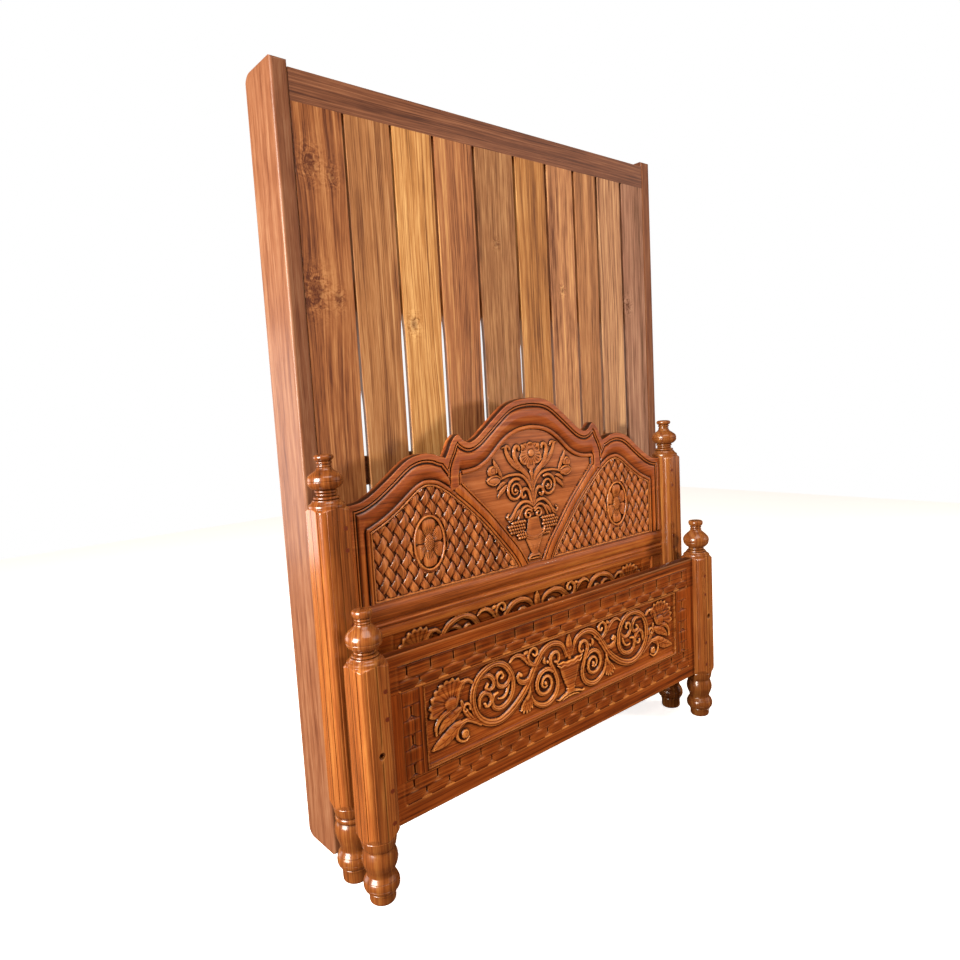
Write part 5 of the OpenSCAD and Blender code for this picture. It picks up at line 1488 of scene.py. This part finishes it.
def brick_depth(x, z):
    """The footboard's rails: two rows of woven bricks between plain strips."""
    pitch = size("brick_pitch")
    depth = np.full(x.shape, 0.0)
    for z0, z1, shift in BRICK_ROWS:
        here = (z >= z0) & (z < z1) & (np.abs(x) < BRICK_HALF)
        if not here.any():
            continue
        p = x / pitch + shift
        u = (p - np.round(p)) * pitch
        v = z - z0
        high = z1 - z0
        dip = 2.6 * np.exp(-((u / 11.0) ** 2))
        crown = 1.5 * (1 - 0.6 * (2 * v / high - 1) ** 2) * np.cos(np.pi * u / pitch) ** 2
        edge = 0.8 * np.exp(-((v / 1.8) ** 2)) + 0.8 * np.exp(-(((high - v) / 1.8) ** 2))
        d = 2.0 + dip - crown + edge
        d = np.maximum(d, slot_and_chip(u, v, high) + 0.6)
        depth = np.where(here, d, depth)
    side = np.abs(x) - BRICK_HALF
    depth = np.where((side > 0) & (z < 546) & (z > 201), 1.2 * smoothstep(-side, -6, 0) + 0.2, depth)
    for edge in (FB_TOP - z, z - FB_FOOT_TOP):
        depth = depth + round_profile(np.clip(edge, 0, None), 3.5)
    return depth


def side_block_depth(x, z):
    """The footboard's stiles: six blocks one over the other, every second one with a slot."""
    x = np.abs(x)
    _, z0, z1 = FB_OPEN
    pitch = (z1 - z0) / BLOCKS
    k = np.floor((z - z0) / pitch)
    v = z - z0 - k * pitch
    u = x - BLOCK_AT
    border = np.abs(u) > BLOCK_HALF
    edge = 1.2 * np.exp(-((v / 1.5) ** 2)) + 1.2 * np.exp(-(((pitch - v) / 1.5) ** 2))
    side = 0.7 * np.exp(-(((BLOCK_HALF - np.abs(u)) / 1.5) ** 2))
    d = 1.6 - 0.9 * np.sqrt(np.clip(1 - (u / 28) ** 2, 0, 1)) + np.maximum(edge, side)
    cut = np.maximum(d + 2.0 * np.exp(-((u / 9.0) ** 2)), slot_and_chip(u, v, pitch) + 0.5)
    d = np.where(k % 2 == 0, cut, d)
    return np.where(border, np.where(x > BRICK_HALF, 0.2, 0.5), d)


class Bouquet(bpy.types.Operator):
    """The headboard's middle panel, carved with flowers over a vase"""

    bl_idname = "bed.bouquet"
    bl_label = "Bouquet panel"

    def execute(self, context):
        # carved teak, its ground left a little paler than the crest, with painted shade in its hollows and a
        # painted highlight on its crowns
        wood = teak("bouquet", "X", 21.0, 0.5, recess=1.5, crown=0.3, streak=0.45)
        carved_board("headboard_bouquet", CENTRE_HOLE, bouquet, 1.25, PANEL_BACK, front_of("headboard"), wood,
                     ["headboard_centre_panel"], holes=[CORNER_SLOT])
        return {"FINISHED"}


class FootScrolls(bpy.types.Operator):
    """The footboard's panel of running scrolls about an urn"""

    bl_idname = "bed.foot_scrolls"
    bl_label = "Footboard's scrolls"

    def execute(self, context):
        # carved teak, polished to a gloss, with painted shade in its hollows and a strong painted highlight
        # on its crowns
        wood = teak("scrolls", "X", 27.0, 0.6, recess=1.3, crown=0.9, streak=0.8, gloss=0.26, coat=0.8)
        carved_board("footboard_scrolls", opening(FB_OPEN), running_scrolls, 1.6, PANEL_BACK,
                     front_of("footboard"), wood, ["footboard_scroll_panel"])
        return {"FINISHED"}


class LowScrolls(bpy.types.Operator):
    """The same scrolls on the headboard's lower panel, mostly behind the footboard"""

    bl_idname = "bed.low_scrolls"
    bl_label = "Headboard's lower scrolls"

    def execute(self, context):
        # carved teak, as the footboard's, with painted shade in its hollows and a painted highlight on its
        # crowns
        wood = teak("low_scrolls", "X", 35.0, 0.6, recess=1.2, crown=0.7, coat=0.7)
        carved_board("headboard_lower_scrolls", opening(HB_LOW_OPEN),
                     lambda x, z: running_scrolls(x, z - SCROLL_LIFT), 2.2, PANEL_BACK, front_of("headboard"),
                     wood, ["headboard_lower_panel"])
        return {"FINISHED"}


class FootBorder(bpy.types.Operator):
    """The footboard's rails and stiles, carved as woven bricks and blocks"""

    bl_idname = "bed.foot_border"
    bl_label = "Footboard's border"

    def execute(self, context):
        place = front_of("footboard")
        # carved teak, stained darkest of all, with painted shade in its slots and hollows and a painted
        # highlight on its crowns and cut chips
        wood = teak("bricks", "X", 41.0, 0.6, recess=1.0, crown=0.5)
        upright = teak("blocks", "Z", 45.0, 0.6, recess=1.0, crown=0.5)
        x, z0, z1 = FB_OPEN
        for name, lo, hi in (("top", z1, FB_TOP), ("bottom", FB_FOOT_TOP, z0)):
            carved_board(f"footboard_{name}_bricks", opening((FB_IN, lo, hi)), brick_depth, 1.5, RAIL_BACK,
                         place, wood, [f"footboard_{name}_rail"], hollow=brick_shade_and_chip_highlight)
        loop = [(x, z0), (FB_IN, z0), (FB_IN, z1), (x, z1)]
        for side in ("left", "right"):
            carved_board(f"footboard_{side}_blocks", loop, side_block_depth, 1.3, RAIL_BACK, place, upright,
                         [f"footboard_stile_{side}"], mirror=side == "left")
        return {"FINISHED"}


class PanelBead(bpy.types.Operator):
    """The bead planted round the footboard's carved panel"""

    bl_idname = "bed.panel_bead"
    bl_label = "Panel bead"

    def execute(self, context):
        # moulded teak, polished along its round
        wood = teak("panel_bead", "X", 51.0, 0.6, gloss=0.26, coat=0.7, shine=0.4)
        lo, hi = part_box("footboard_panel_bead")
        width = size("bead_width") * MM
        w = width / 2
        y = lo.y + w + 0.3 * MM
        ring = [(x, y, z) for x, z in ((lo.x + w, lo.z + w), (hi.x - w, lo.z + w), (hi.x - w, hi.z - w),
                                       (lo.x + w, hi.z - w))]
        grow(bead_tree(), "footboard_bead", ring, [(0, 1), (1, 2), (2, 3), (3, 0)],
             {"Width": width, "Height": width}, wood, ["footboard_panel_bead"])
        return {"FINISHED"}


def extruded_rail(name, section, half, place, material, replaces):
    """A rail of one section from end to end; the section is (depth, z), in millimetres."""
    s = np.asarray(section, float)
    n = len(s)
    co = np.array([(x, d, z) for x in (-half, half) for d, z in s]) * MM + [place[0], place[1], 0]
    k = np.arange(n)
    k2 = (k + 1) % n
    faces = [tuple(q) for q in np.stack([k, k2, n + k2, n + k], 1)]
    turn = ring_area(s) > 0
    if turn:
        faces = [f[::-1] for f in faces]
    faces += [tuple(k if turn else k[::-1]), tuple((n + k)[::-1] if turn else n + k)]
    return make_mesh(name, co, faces, material, replaces, sharp=40)


def round_over(z0, z1, deep, high, n=13):
    """A half-oval from z1 down to z0, standing from depth deep up to deep minus high."""
    a = np.linspace(0, math.pi, n)
    return [(deep - high * math.sin(t), (z0 + z1) / 2 + (z1 - z0) / 2 * math.cos(t)) for t in a]


class HeadRails(bpy.types.Operator):
    """The headboard's moulded middle rail, its bottom rail and its lower stiles"""

    bl_idname = "bed.head_rails"
    bl_label = "Headboard's rails"

    def execute(self, context):
        # moulded teak: one round that catches the light between thin quirks
        wood = teak("head_rail", "X", 51.0, 0.6, coat=0.5, streak=0.7)
        section = [(RAIL_BACK, SILL), (7.5, SILL), (6.5, 668)] + round_over(624.5, 667, 6.5, 6.5, 17)
        section += [(7.5, 622), (7.5, 619.5)] + round_over(608, 618.5, 5.0, 4.0, 9)
        section += [(5.6, 606.5), (5.6, 604.2), (1.6, 603), (1.2, 601), (1.2, 585), (2.2, 583), (4, 582),
                    (RAIL_BACK, 582)]
        extruded_rail("headboard_middle_rail_moulded", section, HB_IN, front_of("headboard"), wood,
                      ["headboard_middle_rail"])
        for node in ("headboard_bottom_rail", "headboard_lower_stile_left", "headboard_lower_stile_right"):
            paint(node, wood)
        return {"FINISHED"}


MEDALLION_BOSS = (15.5, 21.0)
# Angle from one petal to the next, and from the level to the first
PETAL_TURN, PETAL_START = 60, 30


def oval_reach(t, axes):
    """Radius of an oval with the given half-axes at each angle."""
    return 1 / np.sqrt((np.cos(t) / axes[0]) ** 2 + (np.sin(t) / axes[1]) ** 2)


def off_petal(t):
    """How far each angle lies from the middle of its petal, in degrees."""
    f = np.degrees(t) - PETAL_START
    return np.abs(f - PETAL_TURN * np.round(f / PETAL_TURN))


def medallion_depth(x, z):
    """A flower of six petals round a hatched boss, within an oval ring."""
    dx, dz = np.abs(x) - MEDALLION[0], z - MEDALLION[1]
    t = np.arctan2(dz, dx)
    q = np.hypot(dx, dz) / oval_reach(t, MEDALLION_OPEN)
    petal = 6.2 * np.sqrt(np.clip(1 - (off_petal(t) / 30.2) ** 4, 0, 1))
    petal = petal * np.clip(1 - np.clip((q - 0.62) / 0.42, 0, 1) ** 3, 0, 1) ** 0.5
    petal = petal * (0.62 + 0.38 * smoothstep(q, 0.35, 0.75))
    ribs = np.abs(np.cos(np.degrees(t) * np.pi / 8.571)) ** 3
    petal = petal - 2.0 * ribs * (1 - smoothstep(q, 0.52, 0.74))
    u2 = (dx / MEDALLION_BOSS[0]) ** 2 + (dz / MEDALLION_BOSS[1]) ** 2
    hatch = np.abs(np.sin((dx + dz) * 0.5)) ** 4 + np.abs(np.sin((dx - dz) * 0.5)) ** 4
    boss = 4.4 + 4.2 * np.sqrt(np.clip(1 - u2, 0, 1)) - 1.7 * hatch
    return 9.4 - np.clip(np.where(u2 < 1, boss, petal), 0.2, 8.6)


def medallion_ring_depth(x, z):
    """A round ring along the medallion's edge."""
    dx, dz = np.abs(x) - MEDALLION[0], z - MEDALLION[1]
    d = oval_reach(np.arctan2(dz, dx), MEDALLION_RING) - np.hypot(dx, dz)
    return 6.0 - bump_at(d, 3.2, 3.3, 5.2)


class Medallions(bpy.types.Operator):
    """The flower in an oval ring at the middle of each weave panel"""

    bl_idname = "bed.medallions"
    bl_label = "Medallions"

    def execute(self, context):
        place = front_of("headboard")
        # carved teak, as the weave round it but a little paler, with painted shade in its hollows and a
        # painted highlight on its crowns
        wood = teak("medallion", "Z", 61.0, 0.5, recess=1.5, crown=0.3, streak=0.7)
        t = np.radians(np.arange(0, 360, 2.5))
        upright = np.abs(np.sin(t)) ** 8
        r = 1.02 - 0.1 * upright - 0.4 * np.clip((off_petal(t) - 12) / 18, 0, 1) ** 2.6
        r = r * oval_reach(t, MEDALLION_OPEN)
        petals = np.stack([MEDALLION[0] + r * np.cos(t), MEDALLION[1] + r * np.sin(t)], 1)
        for side in ("left", "right"):
            node = f"headboard_medallion_{side}"
            carved_board(node + "_flower", petals, medallion_depth, 1.0, MEDALLION_BACK, place, wood,
                         [node], mirror=side == "left")
            carved_board(node + "_ring", oval(*MEDALLION_RING, MEDALLION), medallion_ring_depth, 1.3,
                         MEDALLION_BACK, place, wood, [node],
                         holes=[oval(45.6, 67.6, MEDALLION)], mirror=side == "left")
        return {"FINISHED"}


# Stage

# The camera's sensor in millimetres, and how far it sees in metres
SENSOR_WIDTH = 36.0
VIEW_END = 60
# The photograph's camera: its frame, focal length and centre in pixels, its place in millimetres and its
# turn in radians
PHOTO_SIZE = 960
FOCAL = 701.839
CENTRE = (465.297, 480.535)
EYE = (-1501.996, -1511.167, 1147.87)
YAW, PITCH, ROLL = -0.6927, -0.1071, -0.0575
# Half the floor's width, in metres
FLOOR_REACH = 6.0
# The room's light on the bed, and the floor's glow beside the light that falls on it
ROOM_LIGHT = 0.3
FLOOR_GLOW = 0.72
# Each lamp's place, aim and size in metres, power in watts, colour, and whether gloss mirrors it
LAMPS = {
    "key": ((3.2, -3.4, 1.3), (0.0, 0.0, 0.9), (0.7, 0.7), 190, "#FFF2E4", False),
    "veil": ((3.2, -3.5, 2.1), (0.1, 0.0, 1.1), (4.8, 3.4), 30, "#FFFFFF", True),
    "window": ((-4.0, -0.4, 1.9), (-0.5, 0.0, 0.9), (2.0, 2.6), 540, "#FFF6EC", True),
    "side": ((-2.6, 3.4, 0.8), (-0.7, 0.0, 0.8), (2.4, 2.0), 38, "#FFFFFF", True),
    "top": ((-0.6, -1.8, 4.4), (0.0, 0.0, 0.8), (3.0, 2.0), 80, "#FFF4EA", True),
}


def seen_straight(tree):
    """One for what the camera sees straight or through glass, and nought for what lights the bed. The
    lacquer mirrors the warm room and not the white, because the photograph shows it dark and clear."""
    path = add(tree, "ShaderNodeLightPath").outputs
    return add(tree, MATH, (path["Is Camera Ray"], path["Is Transmission Ray"]), "MAXIMUM")


def white_room(tree, colour):
    """A world that the camera sees white, while the bed gets the colour's soft light from it."""
    tree.nodes.clear()
    lit = add(tree, "ShaderNodeBackground", {"Color": colour, "Strength": ROOM_LIGHT})
    white = add(tree, "ShaderNodeBackground", {"Color": (1, 1, 1, 1), "Strength": 1.0})
    both = add(tree, "ShaderNodeMixShader", (seen_straight(tree), lit, white))
    add(tree, "ShaderNodeOutputWorld", {"Surface": both})


def white_floor(tree, colour):
    """A matt floor that the camera sees white: what lights it, the bed's shadow in it, and a glow."""
    tree.nodes.clear()
    lit = add(tree, "ShaderNodeBsdfDiffuse", {"Color": colour})
    glow = add(tree, "ShaderNodeEmission", {"Color": (1, 1, 1, 1), "Strength": FLOOR_GLOW})
    matt = add(tree, "ShaderNodeBsdfDiffuse", {"Color": (1, 1, 1, 1)})
    white = add(tree, "ShaderNodeAddShader", (matt, glow))
    both = add(tree, "ShaderNodeMixShader", (seen_straight(tree), lit, white))
    add(tree, "ShaderNodeOutputMaterial", {"Surface": both})


class Stage(bpy.types.Operator):
    """The photograph's camera, a white room and floor, and soft studio lamps"""

    bl_idname = "bed.stage"
    bl_label = "Stage"

    def execute(self, context):
        scene = context.scene
        scene.view_settings.view_transform = "Standard"
        camera = bpy.data.cameras.new("camera")
        camera.sensor_width = SENSOR_WIDTH
        camera.lens = FOCAL / PHOTO_SIZE * camera.sensor_width
        camera.shift_x = (PHOTO_SIZE / 2 - CENTRE[0]) / PHOTO_SIZE
        camera.shift_y = (CENTRE[1] - PHOTO_SIZE / 2) / PHOTO_SIZE
        camera.clip_end = VIEW_END
        forward = np.array([-math.sin(YAW), math.cos(YAW), 0.0]) * math.cos(PITCH)
        forward[2] = math.sin(PITCH)
        level = np.array([math.cos(YAW), math.sin(YAW), 0.0])
        above = np.cross(level, forward)
        right = math.cos(ROLL) * level + math.sin(ROLL) * above
        up = math.cos(ROLL) * above - math.sin(ROLL) * level
        eye = bpy.data.objects.new("camera", camera)
        scene.collection.objects.link(eye)
        turn = Matrix((right, up, -forward)).transposed().to_4x4()
        turn.translation = Vector(EYE) * MM
        eye.matrix_world = turn
        scene.camera = eye

        world = bpy.data.worlds.new("room")
        world.use_nodes = True
        white_room(world.node_tree, colour_of("room"))
        scene.world = world
        r = FLOOR_REACH
        mesh = bpy.data.meshes.new("floor")
        mesh.from_pydata([(-r, -r, 0), (r, -r, 0), (r, r, 0), (-r, r, 0)], [], [(0, 1, 2, 3)])
        # matt floor
        material = bpy.data.materials.new("floor")
        material.use_nodes = True
        white_floor(material.node_tree, colour_of("floor"))
        mesh.materials.append(material)
        floor = bpy.data.objects.new("floor", mesh)
        scene.collection.objects.link(floor)
        for name, (place, aim, (wide, high), power, code, mirrored) in LAMPS.items():
            light = bpy.data.lights.new(name, "AREA")
            light.shape = "RECTANGLE"
            light.size, light.size_y = wide, high
            light.energy = power
            light.color = linear(code)[:3]
            lamp = bpy.data.objects.new(name, light)
            scene.collection.objects.link(lamp)
            lamp.location = place
            lamp.rotation_euler = (Vector(aim) - Vector(place)).to_track_quat("-Z", "Y").to_euler()
            lamp.visible_camera = False
            lamp.visible_glossy = mirrored
        return {"FINISHED"}


# The add-on

PIECES = (DeckPlanks, DeckFrame, DeckScrews, Posts, Pegs, Crest, Weave, Medallions, HeadRails, Bouquet,
          FootScrolls, LowScrolls, FootBorder, PanelBead, Stage)


class BedPanel(bpy.types.Panel):
    """Lists the bed's pieces, sizes and colours"""

    bl_idname = "VIEW3D_PT_teak_bed"
    bl_label = "Teak Bed"
    bl_space_type = "VIEW_3D"
    bl_region_type = "UI"
    bl_category = "Teak Bed"

    def draw(self, context):
        for piece in PIECES:
            self.layout.operator(piece.bl_idname)
        scene = context.scene
        for title, group in (("Sizes", scene.bed_sizes), ("Colours", scene.bed_colours)):
            box = self.layout.box()
            box.label(text=title)
            for key in type(group).__annotations__:
                box.prop(group, key)


CLASSES = (BedSizes, BedColours, *PIECES, BedPanel)


def register():
    """Registers the add-on's classes and gives the scene its sizes and colours."""
    for kind in CLASSES:
        bpy.utils.register_class(kind)
    bpy.types.Scene.bed_sizes = PointerProperty(type=BedSizes)
    bpy.types.Scene.bed_colours = PointerProperty(type=BedColours)


def unregister():
    """Takes the add-on's classes, sizes and colours away again."""
    del bpy.types.Scene.bed_colours
    del bpy.types.Scene.bed_sizes
    for kind in reversed(CLASSES):
        bpy.utils.unregister_class(kind)


def main():
    """Builds every piece of the bed and the stage."""
    register()
    bpy.ops.bed.deck_planks()
    bpy.ops.bed.deck_frame()
    bpy.ops.bed.deck_screws()
    bpy.ops.bed.posts()
    bpy.ops.bed.pegs()
    bpy.ops.bed.crest()
    bpy.ops.bed.weave()
    bpy.ops.bed.medallions()
    bpy.ops.bed.head_rails()
    bpy.ops.bed.bouquet()
    bpy.ops.bed.foot_scrolls()
    bpy.ops.bed.low_scrolls()
    bpy.ops.bed.foot_border()
    bpy.ops.bed.panel_bead()
    bpy.ops.bed.stage()


if __name__ == "__main__":
    main()
